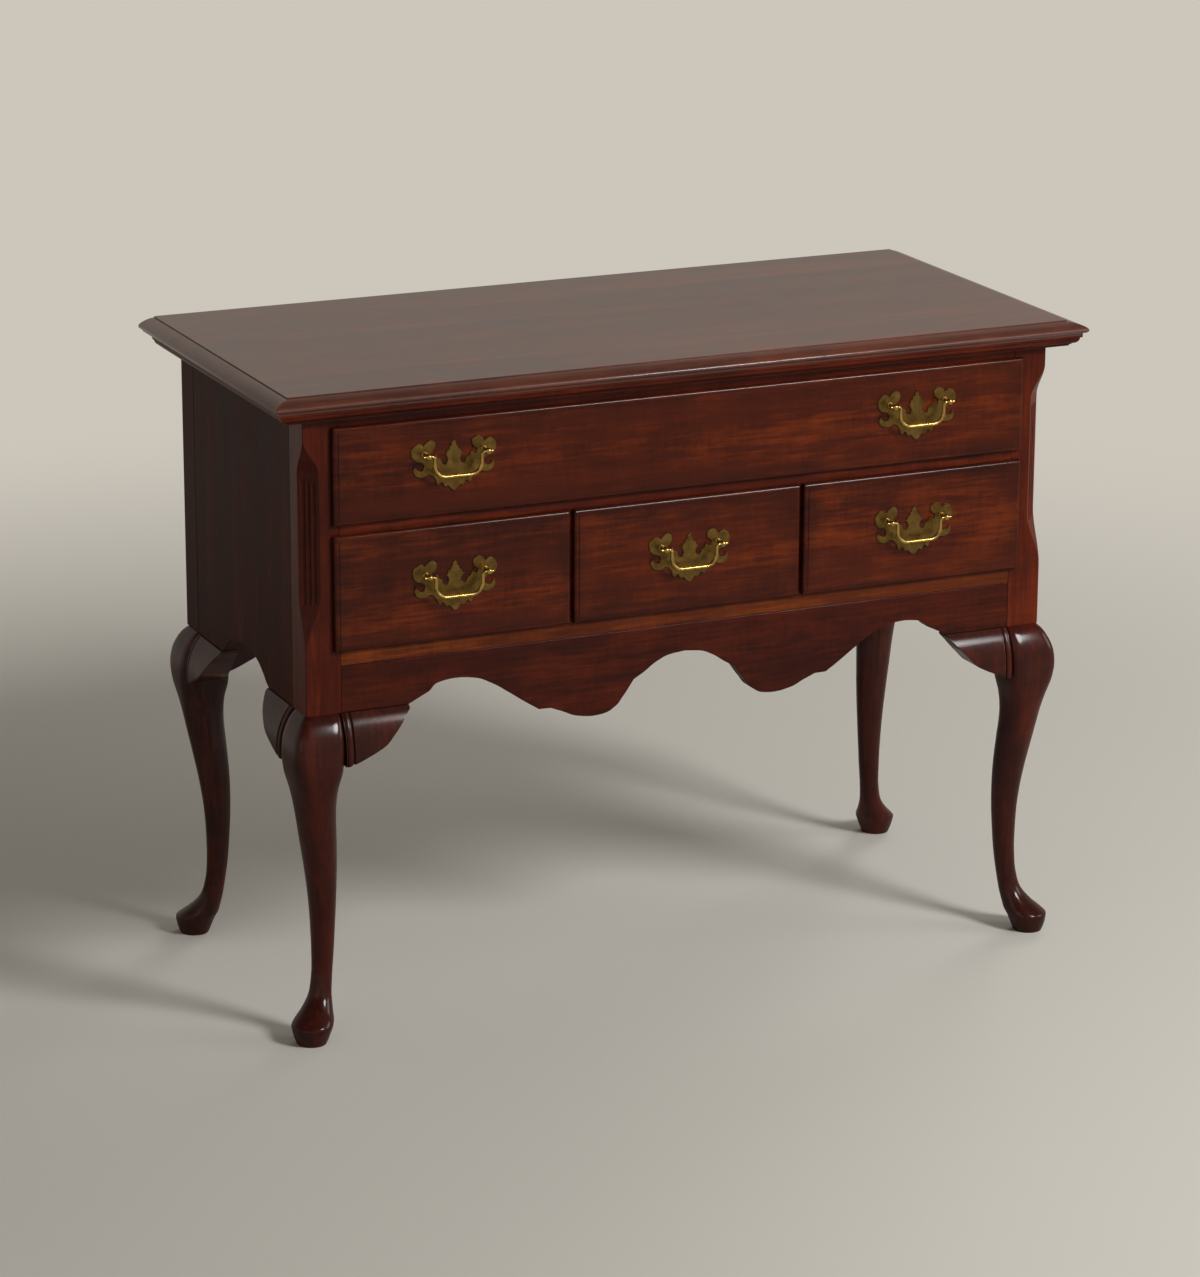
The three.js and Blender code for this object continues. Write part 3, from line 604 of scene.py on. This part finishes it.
def corner_of(node):
    """Outer corner of the case beside a leg or block, and which way is out of it."""
    side = -1 if node.endswith("left") else 1
    end = -1 if "front" in node else 1
    low, high = extent(f"post_{'front' if end < 0 else 'back'}_{'left' if side < 0 else 'right'}")
    x = low[X] if side < 0 else high[X]
    y = low[Y] if end < 0 else high[Y]
    return np.array([x, y]), np.array([side, end])


def cabriole(node):
    """Rings up the leg: at each height the section is a superellipse, whose power rises from 2,
    a circle, to 6, a square with round corners, over the top of the leg."""
    corner, out = corner_of(node)
    top = extent(node)[1][Z]
    scale = np.array([top, KNEE_REACH, POST_WIDTH])
    line = smooth_line(np.array(LEG_SHARES) * scale, LEG_RINGS)
    height, outer, inner = (line[:, k][:, None] for k in range(3))
    power = 2 + KNEE_SQUARENESS * ramp(height, top * KNEE_SQUARE_FOOT_SHARE, top)
    angle = np.linspace(0, 2 * math.pi, LEG_SIDES, endpoint=False)
    middle, half = (inner - outer) / 2, (inner + outer) / 2
    u = middle + half * np.sign(np.cos(angle)) * np.abs(np.cos(angle)) ** (2 / power)
    v = middle + half * np.sign(np.sin(angle)) * np.abs(np.sin(angle)) ** (2 / power)
    z = np.broadcast_to(height, u.shape)
    rings = np.stack([corner[0] - out[0] * u, corner[1] - out[1] * v, z], axis=-1)
    return settle(skin(f"{node}_finish", rings), node, leg_wood)


CORNERS = [f"{end}_{side}" for end in ("front", "back") for side in ("left", "right")]
for corner_word in CORNERS:
    leg = cabriole(f"leg_{corner_word}")
print("leg", len(leg.data.polygons), "faces")

# %% [markdown]
# ## Knee blocks
# Beside each leg two blocks carry the curve of the knee on under the aprons. Each is one rounded
# face all along, sawn off below on a curve that rises to the tip. A bead is cut next to the leg,
# with a groove on each side. The face is a product of a line down its height and one along it.

# %% Knee blocks
BLOCK_BULGE, BLOCK_EASE = 19 * MM, 0.7 * MM
BLOCK_EDGE_POINTS, BLOCK_FACE_POINTS = 60, 34
# Each pair: share of the length out from the leg, share of the height that the block hangs down.
BLOCK_EDGE_SHARES = [
    (0, 1),
    (0.14, 0.94),
    (0.3, 0.85),
    (0.46, 0.75),
    (0.58, 0.66),
    (0.7, 0.5),
    (0.82, 0.33),
    (0.93, 0.16),
    (1, 0.06),
]
# Each pair: share of the bulge, share of the block's height down its face.
BLOCK_FACE_SHARES = [
    (0.06, 0),
    (0.36, 0.12),
    (0.64, 0.28),
    (0.84, 0.45),
    (0.97, 0.65),
    (1, 0.82),
    (0.97, 1),
]
# Each pair, in millimetres: distance out from the leg, depth that is cut off the face there.
BEAD_LINE = [
    (0, 2.6),
    (1.4, 2.6),
    (1.8, 1.3),
    (3.2, 0.4),
    (4.6, 0.2),
    (6, 0.4),
    (7.4, 1.3),
    (7.8, 2.6),
    (9.2, 2.6),
    (9.8, 0.3),
    (10.6, 0),
    (84, 0),
]
# Past this share of the length the face is clear of the bead.
BEAD_SHARE = 0.13


def knee_block(node):
    """Rings out from the leg to the tip. At each, the face stands proud by the bulge's share at
    that depth, less the bead's cut, and the last bit before the lower edge is a quarter circle."""
    corner, out = corner_of(node)
    low, high = extent(node)
    long_way = X if "long" in node else Y
    length, height = (high - low)[long_way], (high - low)[Z]
    bead = np.array(BEAD_LINE) * MM
    rest = smooth_line(BLOCK_EDGE_SHARES, BLOCK_EDGE_POINTS)
    beyond = length * rest[rest[:, 0] > BEAD_SHARE, 0]
    distance = np.unique(np.concatenate([bead[:-1, 0], beyond, [length]]))
    hang = (height * np.interp(distance / length, rest[:, 0], rest[:, 1]))[:, None]
    cut = np.interp(distance, bead[:, 0], bead[:, 1])[:, None]
    face = smooth_line(BLOCK_FACE_SHARES, BLOCK_FACE_POINTS)
    share = np.linspace(0, 1, BLOCK_FACE_POINTS)
    down = hang * share
    proud = BLOCK_BULGE * np.interp(down / height, face[:, 1], face[:, 0])
    near_edge = np.clip((down - hang) / BLOCK_EASE + 1, 0, 1)
    proud = proud - cut - BLOCK_EASE * (1 - np.sqrt(1 - near_edge**2))
    thick = (high - low)[1 - long_way] - BLOCK_BULGE
    depth = np.hstack([-proud, np.full((len(distance), 2), thick)])
    z = high[Z] - np.hstack([down, hang, np.zeros_like(hang)])
    leg_end = high[long_way] if out[long_way] > 0 else low[long_way]
    rings = np.empty((*depth.shape, 3))
    rings[..., long_way] = leg_end - out[long_way] * distance[:, None]
    rings[..., 1 - long_way] = corner[1 - long_way] - out[1 - long_way] * depth
    rings[..., Z] = z
    return settle(skin(f"{node}_finish", rings), node, leg_wood)


for corner_word in CORNERS:
    knee_block(f"knee_block_long_{corner_word}")
    block = knee_block(f"knee_block_short_{corner_word}")
print("knee block", len(block.data.polygons), "faces")

# %% [markdown]
# ## Panels, aprons and rails
# These are boards with shaped lower edges. The front apron has a middle arch, two hanging lobes and
# two end arches. Each stretch is smooth, and the cusps between them stay sharp, because the
# stretches are drawn apart and then joined.

# %% Shaped boards
BLOCK_LENGTH = 84 * MM
ARCH_POINTS = 40
# Front apron from the middle out. Each pair: share of half the length, share of the depth down.
CENTRE_ARCH_SHARES = [(0, 0.34), (0.045, 0.362), (0.084, 0.43), (0.12, 0.533), (0.152, 0.615)]
LOBE_SHARES = [
    (0.152, 0.615),
    (0.182, 0.795),
    (0.209, 0.924),
    (0.241, 0.988),
    (0.273, 1),
    (0.318, 0.973),
    (0.363, 0.894),
    (0.398, 0.833),
]
END_ARCH_SHARES = [
    (0.432, 0.83),
    (0.466, 0.736),
    (0.522, 0.568),
    (0.572, 0.429),
    (0.622, 0.34),
    (0.675, 0.315),
    (0.716, 0.335),
    (0.75, 0.435),
]
# Plain arch between two blocks. Each pair: share of half the span, share of the rise.
PLAIN_ARCH_SHARES = [(0, 1), (0.31, 0.935), (0.56, 0.74), (0.77, 0.42), (0.93, 0.1), (1, 0)]


def mirrored(half):
    """The half outline from the middle out, with its mirror image before it."""
    half = np.asarray(half)
    return np.vstack([half[:0:-1] * (-1, 1), half])


def arched(half, foot, rise):
    """Lower edge between two blocks: an arch of this rise, level over the blocks."""
    arch = smooth_line(PLAIN_ARCH_SHARES, ARCH_POINTS)
    points = np.column_stack([(half - BLOCK_LENGTH) * arch[:, 0], foot + rise * arch[:, 1]])
    return mirrored(np.vstack([points, [(half, foot)]]))


POST_FOOT = extent("post_front_left")[0][Z]
SIDE_RISE, BACK_RISE = 31 * MM, 24 * MM
APRON_DEPTH = 101 * MM

low, high = extent("front_apron")
shares = np.vstack(
    [
        smooth_line(CENTRE_ARCH_SHARES, ARCH_POINTS // 2),
        smooth_line(LOBE_SHARES, ARCH_POINTS)[1:],
        smooth_line(END_ARCH_SHARES, ARCH_POINTS),
    ]
)
apron_top = high[Z] + GAP
edge = np.column_stack([high[X] * shares[:, 0], apron_top - APRON_DEPTH * shares[:, 1]])
ends = [(high[X] - BLOCK_LENGTH, POST_FOOT), (high[X], POST_FOOT), (high[X], high[Z])]
outline = mirrored(np.vstack([edge, ends]))
settle(board("front_apron_finish", outline, Y, low[Y], high[Y]), "front_apron", apron_wood)

low, high = extent("back_apron")
edge = arched(high[X], POST_FOOT, BACK_RISE)
outline = np.vstack([edge, [(high[X], high[Z]), (low[X], high[Z])]])
settle(board("back_apron_finish", outline, Y, low[Y], high[Y]), "back_apron", shaded_side_wood)

for side in ("left", "right"):
    node = f"side_panel_{side}"
    low, high = extent(node)
    middle = (low[Y] + high[Y]) / 2
    edge = arched(high[Y] - middle, POST_FOOT, SIDE_RISE) + (middle, 0)
    outline = np.vstack([edge, [(high[Y], high[Z]), (low[Y], high[Z])]])
    settle(board(f"{node}_finish", outline, X, low[X], high[X]), node, shaded_side_wood)

# %% [markdown]
# The rails, the boards that carry the drawers and the back are plain boards. A divider is one piece
# with the guide behind it: an upright stile in front, and a low strip that runs back.

# %% Rails, boards and back
plain_board("top_rail", blade_wood, X)
plain_board("middle_board", blade_wood, X)
plain_board("lower_board", strip_wood, X)
plain_board("back_panel", plain_wood, Y)

GUIDE_HEIGHT, STILE_DEPTH = 18 * MM, 20 * MM
for side in ("left", "right"):
    node = f"divider_{side}"
    low, high = extent(node)
    outline = [
        (low[Y], low[Z]),
        (high[Y], low[Z]),
        (high[Y], low[Z] + GUIDE_HEIGHT),
        (low[Y] + STILE_DEPTH, low[Z] + GUIDE_HEIGHT),
        (low[Y] + STILE_DEPTH, high[Z]),
        (low[Y], high[Z]),
    ]
    settle(board(f"{node}_finish", outline, X, low[X], high[X]), node, blade_wood)

# %% [markdown]
# ## Drawers
# Each drawer front has a lip that laps over the case, with a thumb moulding round a flat field.
# Its rings run from the back of the body, out round the lip and in again to the field. Behind it
# are two sides and a back, made as one U, and a thin bottom.

# %% Drawer fronts
FRONT_THICK, LIP_PROUD, LIP_WALL = 19 * MM, 9 * MM, 5 * MM
LIP_SIDE, LIP_RAIL = 8.4 * MM, 5 * MM
FIELD_INSET, FIELD_STEP = 6 * MM, 0.8 * MM
BODY_CLEARANCE = 1 * MM
LIP_POINTS, LIP_CREASE = 10, math.radians(20)
WALL = 11 * MM
PATTERN_SHIFT = 0.37
DRAWERS = ["drawer_top", "drawer_left", "drawer_middle", "drawer_right"]


def drawer_front(node, shift):
    """Rectangles from the back of the front to its field: the body in the opening, the lip's flat
    back and wall, a quarter ellipse of thumb moulding, a small step, and the field."""
    low, high = extent(node)
    angle = np.linspace(0, math.pi / 2, LIP_POINTS)
    rise = LIP_PROUD - LIP_WALL - FIELD_STEP
    body = np.array([LIP_SIDE + BODY_CLEARANCE, LIP_RAIL + BODY_CLEARANCE])
    lip_back = low[Y] + LIP_PROUD - GAP
    thumb_inset = (FIELD_INSET * (1 - np.cos(angle)))[:, None]
    insets = np.vstack([body, body, [(0, 0)], thumb_inset * (1, 1), [(FIELD_INSET, FIELD_INSET)]])
    thumb_depth = low[Y] + LIP_PROUD - LIP_WALL - rise * np.sin(angle)
    depth = np.concatenate([[high[Y], lip_back, lip_back], thumb_depth, [low[Y]]])
    signs = np.array([(-1, -1), (1, -1), (1, 1), (-1, 1)])
    middle, half = (low + high) / 2, (high - low) / 2
    across = middle[X] + signs[:, 0] * (half[X] - insets[:, :1])
    upright = middle[Z] + signs[:, 1] * (half[Z] - insets[:, 1:])
    rings = np.stack([across, np.broadcast_to(depth[:, None], across.shape), upright], axis=-1)
    finish = wood(f"{node}_wood", FRONT_TONES, X, 0.25, toned=(low, high), shift=shift)
    return settle(skin(f"{node}_finish", rings, LIP_CREASE), node, finish)


for number, drawer in enumerate(DRAWERS):
    drawer_front(f"{drawer}_front", PATTERN_SHIFT * number)
    low, high = extent(f"{drawer}_box")
    outline = [
        (low[X], low[Y]),
        (low[X] + WALL, low[Y]),
        (low[X] + WALL, high[Y] - WALL),
        (high[X] - WALL, high[Y] - WALL),
        (high[X] - WALL, low[Y]),
        (high[X], low[Y]),
        (high[X], high[Y]),
        (low[X], high[Y]),
    ]
    box_piece = board(f"{drawer}_box_finish", outline, Z, low[Z], high[Z])
    settle(box_piece, f"{drawer}_box", plain_upright)
    plain_board(f"{drawer}_bottom", plain_wood, Z)

# %% [markdown]
# ## Pull plates
# Each pull has a plate cut to a lively outline: a stepped crest, two round lobes a side, a hooked
# scroll, and a small pendant. Half of it is a list of shares, in stretches that meet at sharp
# points. The edge is bevelled by drawing the outline in along its own normals.

# %% Plates
PLATE_HALF, PLATE_HEIGHT, PLATE_BEVEL = 53 * MM, 63 * MM, 0.8 * MM
# Stretches of half the outline, from the crest out and round to the pendant.
# Each pair: share of the half width, share of the height above the posts.
PLATE_STRETCH_SHARES = [
    [(0, 0.225), (0.035, 0.2), (0.055, 0.165), (0.06, 0.125), (0.1, 0.115)],
    [(0.1, 0.115), (0.105, 0.075), (0.12, 0.05), (0.16, 0.045)],
    [(0.16, 0.045), (0.165, 0.01), (0.18, -0.02), (0.22, -0.035)],
    [(0.22, -0.035), (0.19, -0.06), (0.165, -0.095), (0.15, -0.14), (0.165, -0.19), (0.21, -0.225)],
    [(0.21, -0.225), (0.255, -0.22), (0.285, -0.175), (0.295, -0.13), (0.345, -0.1)],
    [(0.345, -0.1), (0.385, -0.09), (0.395, -0.045), (0.44, -0.01)],
    [(0.44, -0.01), (0.465, -0.05), (0.51, -0.065), (0.545, -0.035), (0.545, 0.01), (0.5, 0.04)],
    [(0.5, 0.04), (0.445, 0.08), (0.425, 0.14), (0.45, 0.215), (0.54, 0.258)]
    + [(0.64, 0.235), (0.715, 0.16)],
    [(0.715, 0.16), (0.76, 0.195), (0.83, 0.21), (0.94, 0.165), (1, 0.07)]
    + [(0.985, -0.04), (0.89, -0.13)],
    [(0.89, -0.13), (0.79, -0.15), (0.72, -0.18), (0.7, -0.23), (0.72, -0.28), (0.78, -0.308)],
    [(0.78, -0.308), (0.85, -0.294), (0.895, -0.255), (0.917, -0.215)],
    [(0.917, -0.215), (0.96, -0.3), (0.915, -0.39), (0.79, -0.44), (0.68, -0.43), (0.6, -0.39)],
    [(0.6, -0.39), (0.54, -0.405), (0.47, -0.46), (0.425, -0.515), (0.405, -0.58), (0.36, -0.613)],
    [(0.36, -0.613), (0.325, -0.58), (0.275, -0.56)],
    [(0.275, -0.56), (0.255, -0.6), (0.207, -0.655)],
    [(0.207, -0.655), (0.15, -0.635), (0.11, -0.66), (0.065, -0.71), (0, -0.742)],
]
STRETCH_POINTS = 14
SLIDE_ROUNDS, SLIDE_START, SLIDE_STEP = 80, 0.1, 0.6


def inwards(outline, distance):
    """Slides each point in until it is this far from the whole outline. A point that starts in a
    narrow tip is pushed by both sides in turn, and settles between them."""
    edges = np.roll(outline, -1, axis=0) - outline
    lengths = np.linalg.norm(edges, axis=1)
    normals = np.column_stack([-edges[:, 1], edges[:, 0]]) / lengths[:, None]
    x, y = outline.T
    turn = np.sign(np.sum(x * np.roll(y, -1) - np.roll(x, -1) * y))
    points = outline + SLIDE_START * distance * turn * (normals + np.roll(normals, 1, axis=0))
    for _ in range(SLIDE_ROUNDS):
        reach = points[:, None] - outline
        share = np.clip(np.sum(reach * edges, axis=2) / lengths**2, 0, 1)
        gaps = reach - share[:, :, None] * edges
        far = np.linalg.norm(gaps, axis=2)
        closest = np.argmin(far, axis=1)
        gap, gone = gaps[np.arange(len(points)), closest], far.min(axis=1)[:, None]
        short = np.maximum(distance - gone, 0)
        points = points + gap / np.maximum(gone, 1e-9) * short * SLIDE_STEP
    return points


def plate_outline():
    """Half the outline from crest to pendant, stretch by stretch, and its mirror image."""
    lines = [smooth_line(stretch, STRETCH_POINTS)[:-1] for stretch in PLATE_STRETCH_SHARES]
    half = np.vstack([*lines, PLATE_STRETCH_SHARES[-1][-1:]]) * (PLATE_HALF, PLATE_HEIGHT)
    return np.vstack([half, half[-2:0:-1] * (-1, 1)])


def plate(node, centre):
    """The outline at the back and at the foot of the bevel, then drawn in at the front."""
    low, high = extent(node)
    outline = plate_outline()
    rows = [(outline, high[Y]), (outline, low[Y] + PLATE_BEVEL)]
    rows.append((inwards(outline, PLATE_BEVEL), low[Y]))
    rings = np.array([np.insert(points + centre, 1, y, axis=1) for points, y in rows])
    return settle(skin(f"{node}_finish", rings), node, plate_brass)


# %% [markdown]
# ## Bails and posts
# The bail is a rod that hangs from two ball-headed posts. Its pins pass outwards through the balls,
# and the rod is thin there and full round the drop. The rod's path lies in one plane, so each
# ring needs only the path's direction: its normal in that plane, and the way out of it.

# %% Bails and posts
BAIL_RADIUS, PIN_RADIUS = 2.3 * MM, 1.7 * MM
BAIL_HALF, BAIL_DROP, BAIL_CORNER, BAIL_SHOULDER = 29.3 * MM, 25.5 * MM, 14 * MM, 4 * MM
BAIL_SIDES = 20
BALL_RADIUS, NECK_RADIUS, FLANGE_RADIUS = 4.2 * MM, 2.4 * MM, 3.4 * MM
NUT_RADIUS, NUT_THICK, FLANGE_THICK = 5.5 * MM, 3 * MM, 1 * MM
BEND_POINTS, SHOULDER_SWELL, FULL_DROP_SHARE = 14, 0.35, 0.8
LATHE_SIDES, LATHE_CREASE = 32, math.radians(28)
BALL_POINTS, BALL_TIP = 16, 0.04


def bail_path(pin):
    """Half of the bail's path: in along the pin, round the shoulder, down, round the corner and
    along to the middle of the drop."""
    turn = np.linspace(0, math.pi / 2, BEND_POINTS)
    shoulder_x = BAIL_HALF + BAIL_SHOULDER - BAIL_SHOULDER * np.sin(turn)
    shoulder_z = BAIL_SHOULDER * (np.cos(turn) - 1)
    corner_x = BAIL_HALF - BAIL_CORNER + BAIL_CORNER * np.cos(turn)
    corner_z = BAIL_CORNER - BAIL_DROP - BAIL_CORNER * np.sin(turn)
    start = np.column_stack([np.linspace(pin, BAIL_HALF + BAIL_SHOULDER, 5)[:-1], np.zeros(4)])
    shoulder = np.column_stack([shoulder_x, shoulder_z])
    corner = np.column_stack([corner_x, corner_z])
    level = np.linspace(corner[-1], (0, -BAIL_DROP), 8)[1:]
    half = np.vstack([start, shoulder, corner, level])
    return np.vstack([half, half[-2::-1] * (-1, 1)])


def bail(node, centre, axis_z):
    """A circle across the path at each point. Its radius grows from the pin's to the rod's, by one
    share over the shoulder and by the rest on the way down."""
    low, high = extent(node)
    path = bail_path((high[X] - low[X]) / 2)
    along = np.gradient(path, axis=0)
    along /= np.linalg.norm(along, axis=1)[:, None]
    fallen = ramp(-path[:, 1], 0, FULL_DROP_SHARE * BAIL_DROP)
    round_shoulder = ramp(-np.abs(path[:, 0]), -BAIL_HALF - BAIL_SHOULDER, -BAIL_HALF)
    swell = SHOULDER_SWELL * round_shoulder + (1 - SHOULDER_SWELL) * fallen
    radius = (PIN_RADIUS + (BAIL_RADIUS - PIN_RADIUS) * swell)[:, None]
    angle = np.linspace(0, 2 * math.pi, BAIL_SIDES, endpoint=False)
    x = centre + path[:, :1] - along[:, 1:] * radius * np.cos(angle)
    z = axis_z + path[:, 1:] + along[:, :1] * radius * np.cos(angle)
    y = (low[Y] + high[Y]) / 2 + radius * np.sin(angle)
    return settle(skin(f"{node}_finish", np.stack([x, y, z], axis=-1)), node, bail_brass)


def turned(name, profile, x, z):
    """Surface of revolution about a line along Y: rings of radius r at depth y."""
    profile = np.asarray(profile, float)
    angle = np.linspace(0, 2 * math.pi, LATHE_SIDES, endpoint=False)
    r, y = profile[:, :1], profile[:, 1:]
    depth = np.broadcast_to(y, (len(r), LATHE_SIDES))
    rings = np.stack([x + r * np.cos(angle), depth, z + r * np.sin(angle)], axis=-1)
    return skin(name, rings, LATHE_CREASE)


def pull_post(node, plate_front):
    """Nut, shank, flange, neck and ball, from the back forwards."""
    low, high = extent(node)
    x, z = (low[X] + high[X]) / 2, (low[Z] + high[Z]) / 2
    ball = low[Y] + BALL_RADIUS
    flange = plate_front - GAP
    start = math.asin(NECK_RADIUS / BALL_RADIUS)
    angle = np.linspace(start, math.pi - BALL_TIP, BALL_POINTS)
    head = np.column_stack([BALL_RADIUS * np.sin(angle), ball + BALL_RADIUS * np.cos(angle)])
    body = [
        (NUT_RADIUS, high[Y]),
        (NUT_RADIUS, high[Y] - NUT_THICK),
        (NECK_RADIUS, high[Y] - NUT_THICK),
        (NECK_RADIUS, flange),
        (FLANGE_RADIUS, flange),
        (FLANGE_RADIUS, flange - FLANGE_THICK / 2),
        (FLANGE_RADIUS * 0.8, flange - FLANGE_THICK),
        (NECK_RADIUS, flange - 2 * FLANGE_THICK),
    ]
    return settle(turned(f"{node}_finish", np.vstack([body, head]), x, z), node, bail_brass)


PULLS = ["drawer_top_pull_1", "drawer_top_pull_2"] + [f"{drawer}_pull" for drawer in DRAWERS[1:]]
for pull in PULLS:
    ends = np.array([extent(f"{pull}_post_{side}") for side in ("left", "right")])
    centre = ends.mean(axis=(0, 1))[[X, Z]]
    plate(f"{pull}_plate", centre)
    bail(f"{pull}_bail", *centre)
    for side in ("left", "right"):
        pull_post(f"{pull}_post_{side}", extent(f"{pull}_plate")[0][Y])
print(len(PULLS), "pulls")

# %% [markdown]
# ## Floor, light and camera
# A pale floor runs far past the view and fades into a pale sky, so no horizon shows. Dark lacquer
# mirrors what stands round it, so the sky that it sees is pale near the horizon and dim overhead,
# as in a room with walls.

# %% Floor and sky
FLOOR_SIZE = 60.0
# Distances from the middle between which the floor fades, in metres.
FLOOR_FADE = (1.1, 2.8)
# Heights between which the mirrored sky dims, where 1 is straight up, and its strength there.
SKY_DIMS, HIGH_SKY = (0.35, 0.75), 0.25
SKY_LIGHT = 0.35
FLOOR_COLOUR = colour(196, 192, 184)
SKY_COLOUR = colour(204, 198, 187)


def seen_or_mirrored(tree):
    """1 for rays that come from the camera or from a mirroring surface, and 0 for the others."""
    ray = make(tree, "ShaderNodeLightPath", output="Is Camera Ray")
    return ray.maths("MAXIMUM", ray.output("Is Glossy Ray"))


floor_mesh = bpy.data.meshes.new("floor")
signs = [(-1, -1), (1, -1), (1, 1), (-1, 1)]
corners = [(x * FLOOR_SIZE, y * FLOOR_SIZE, 0.0) for x, y in signs]
floor_mesh.from_pydata(corners, [], [(0, 1, 2, 3)])
floor = added("floor", floor_mesh)
floor_paint, tree = empty_material("floor_paint")
place = make(tree, "ShaderNodeTexCoord", output=3)
away = make(tree, "ShaderNodeVectorMath", {"operation": "LENGTH"}, {0: place}, "Value")
painted = make(tree, "ShaderNodeBsdfDiffuse", None, {"Color": FLOOR_COLOUR})
sky = make(tree, "ShaderNodeEmission", None, {"Color": SKY_COLOUR, "Strength": 1.0})
far = spread(tree, away, *FLOOR_FADE) * seen_or_mirrored(tree)
faded = make(tree, "ShaderNodeMixShader", None, {0: far, 1: painted, 2: sky})
make(tree, "ShaderNodeOutputMaterial", None, {"Surface": faded})
floor.data.materials.append(floor_paint)

world = bpy.data.worlds.new("studio")
bpy.context.scene.world = world
world.use_nodes = True
tree = world.node_tree
tree.nodes.clear()
aim = make(tree, "ShaderNodeTexCoord", output="Generated")
up = make(tree, "ShaderNodeSeparateXYZ", None, {0: aim}).output("Z")
low_sky, high_sky, soft_sky = (
    make(tree, "ShaderNodeBackground", None, {"Color": SKY_COLOUR, "Strength": strength})
    for strength in (1.0, HIGH_SKY, SKY_LIGHT)
)
height = spread(tree, up, *SKY_DIMS)
shown = make(tree, "ShaderNodeMixShader", None, {0: height, 1: low_sky, 2: high_sky})
mixed = make(tree, "ShaderNodeMixShader", None, {0: seen_or_mirrored(tree), 1: soft_sky, 2: shown})
make(tree, "ShaderNodeOutputWorld", None, {"Surface": mixed})

# %% [markdown]
# One broad lamp from the front right models the fronts, and a weaker one beside it lights the right
# end. A fill lamp and a back lamp only open the shadows, so the lacquer doesn't mirror the back one.

# %% Lamps
def lamp(name, place, target, size, power):
    """A round area lamp of this width, aimed from its place at the target."""
    light = bpy.data.lights.new(name, "AREA")
    light.shape = "DISK"
    light.size = size
    light.energy = power
    holder = added(name, light)
    aim = np.array(target) - np.array(place)
    yaw = math.atan2(-aim[0], aim[1])
    tilt = math.atan2(math.hypot(aim[0], aim[1]), -aim[2])
    holder.location = place
    holder.rotation_euler = (tilt, 0, yaw)
    return holder


lamp("key", (1.8, -3.2, 2.9), (0, 0, 0.5), 1.2, 150)
lamp("side", (3.4, -1.6, 1.6), (0, 0, 0.5), 1.6, 30)
lamp("fill", (-3.2, -2.4, 1.8), (0, 0, 0.4), 2.4, 6)
lamp("back", (3.2, 2.6, 2.4), (0, 0, 0.4), 2.0, 55).visible_glossy = False

# %% [markdown]
# The camera stands where the photograph was taken from, with the same turn, tilt and slight roll.
# Its place was worked out from the corners of the case.

# %% Camera
CAMERA_PLACE = (-2.2364, -4.9059, 1.9929)
CAMERA_YAW, CAMERA_PITCH, CAMERA_ROLL = 0.42488, 0.29016, 0.00352
# The picture's height and the focal length in pixels, and the sensor's longer side in millimetres.
FRAME_HEIGHT, FOCAL_PIXELS, SENSOR = 1277, 4539.2, 36.0
camera_data = bpy.data.cameras.new("camera")
camera_data.sensor_width = SENSOR
camera_data.lens = SENSOR * FOCAL_PIXELS / FRAME_HEIGHT
camera = added("camera", camera_data)
camera.matrix_world = (
    Matrix.Translation(CAMERA_PLACE)
    @ Matrix.Rotation(-CAMERA_YAW, 4, "Z")
    @ Matrix.Rotation(math.pi / 2 - CAMERA_PITCH, 4, "X")
    @ Matrix.Rotation(CAMERA_ROLL, 4, "Z")
)
bpy.context.scene.camera = camera
bpy.context.scene.view_settings.view_transform = "Standard"
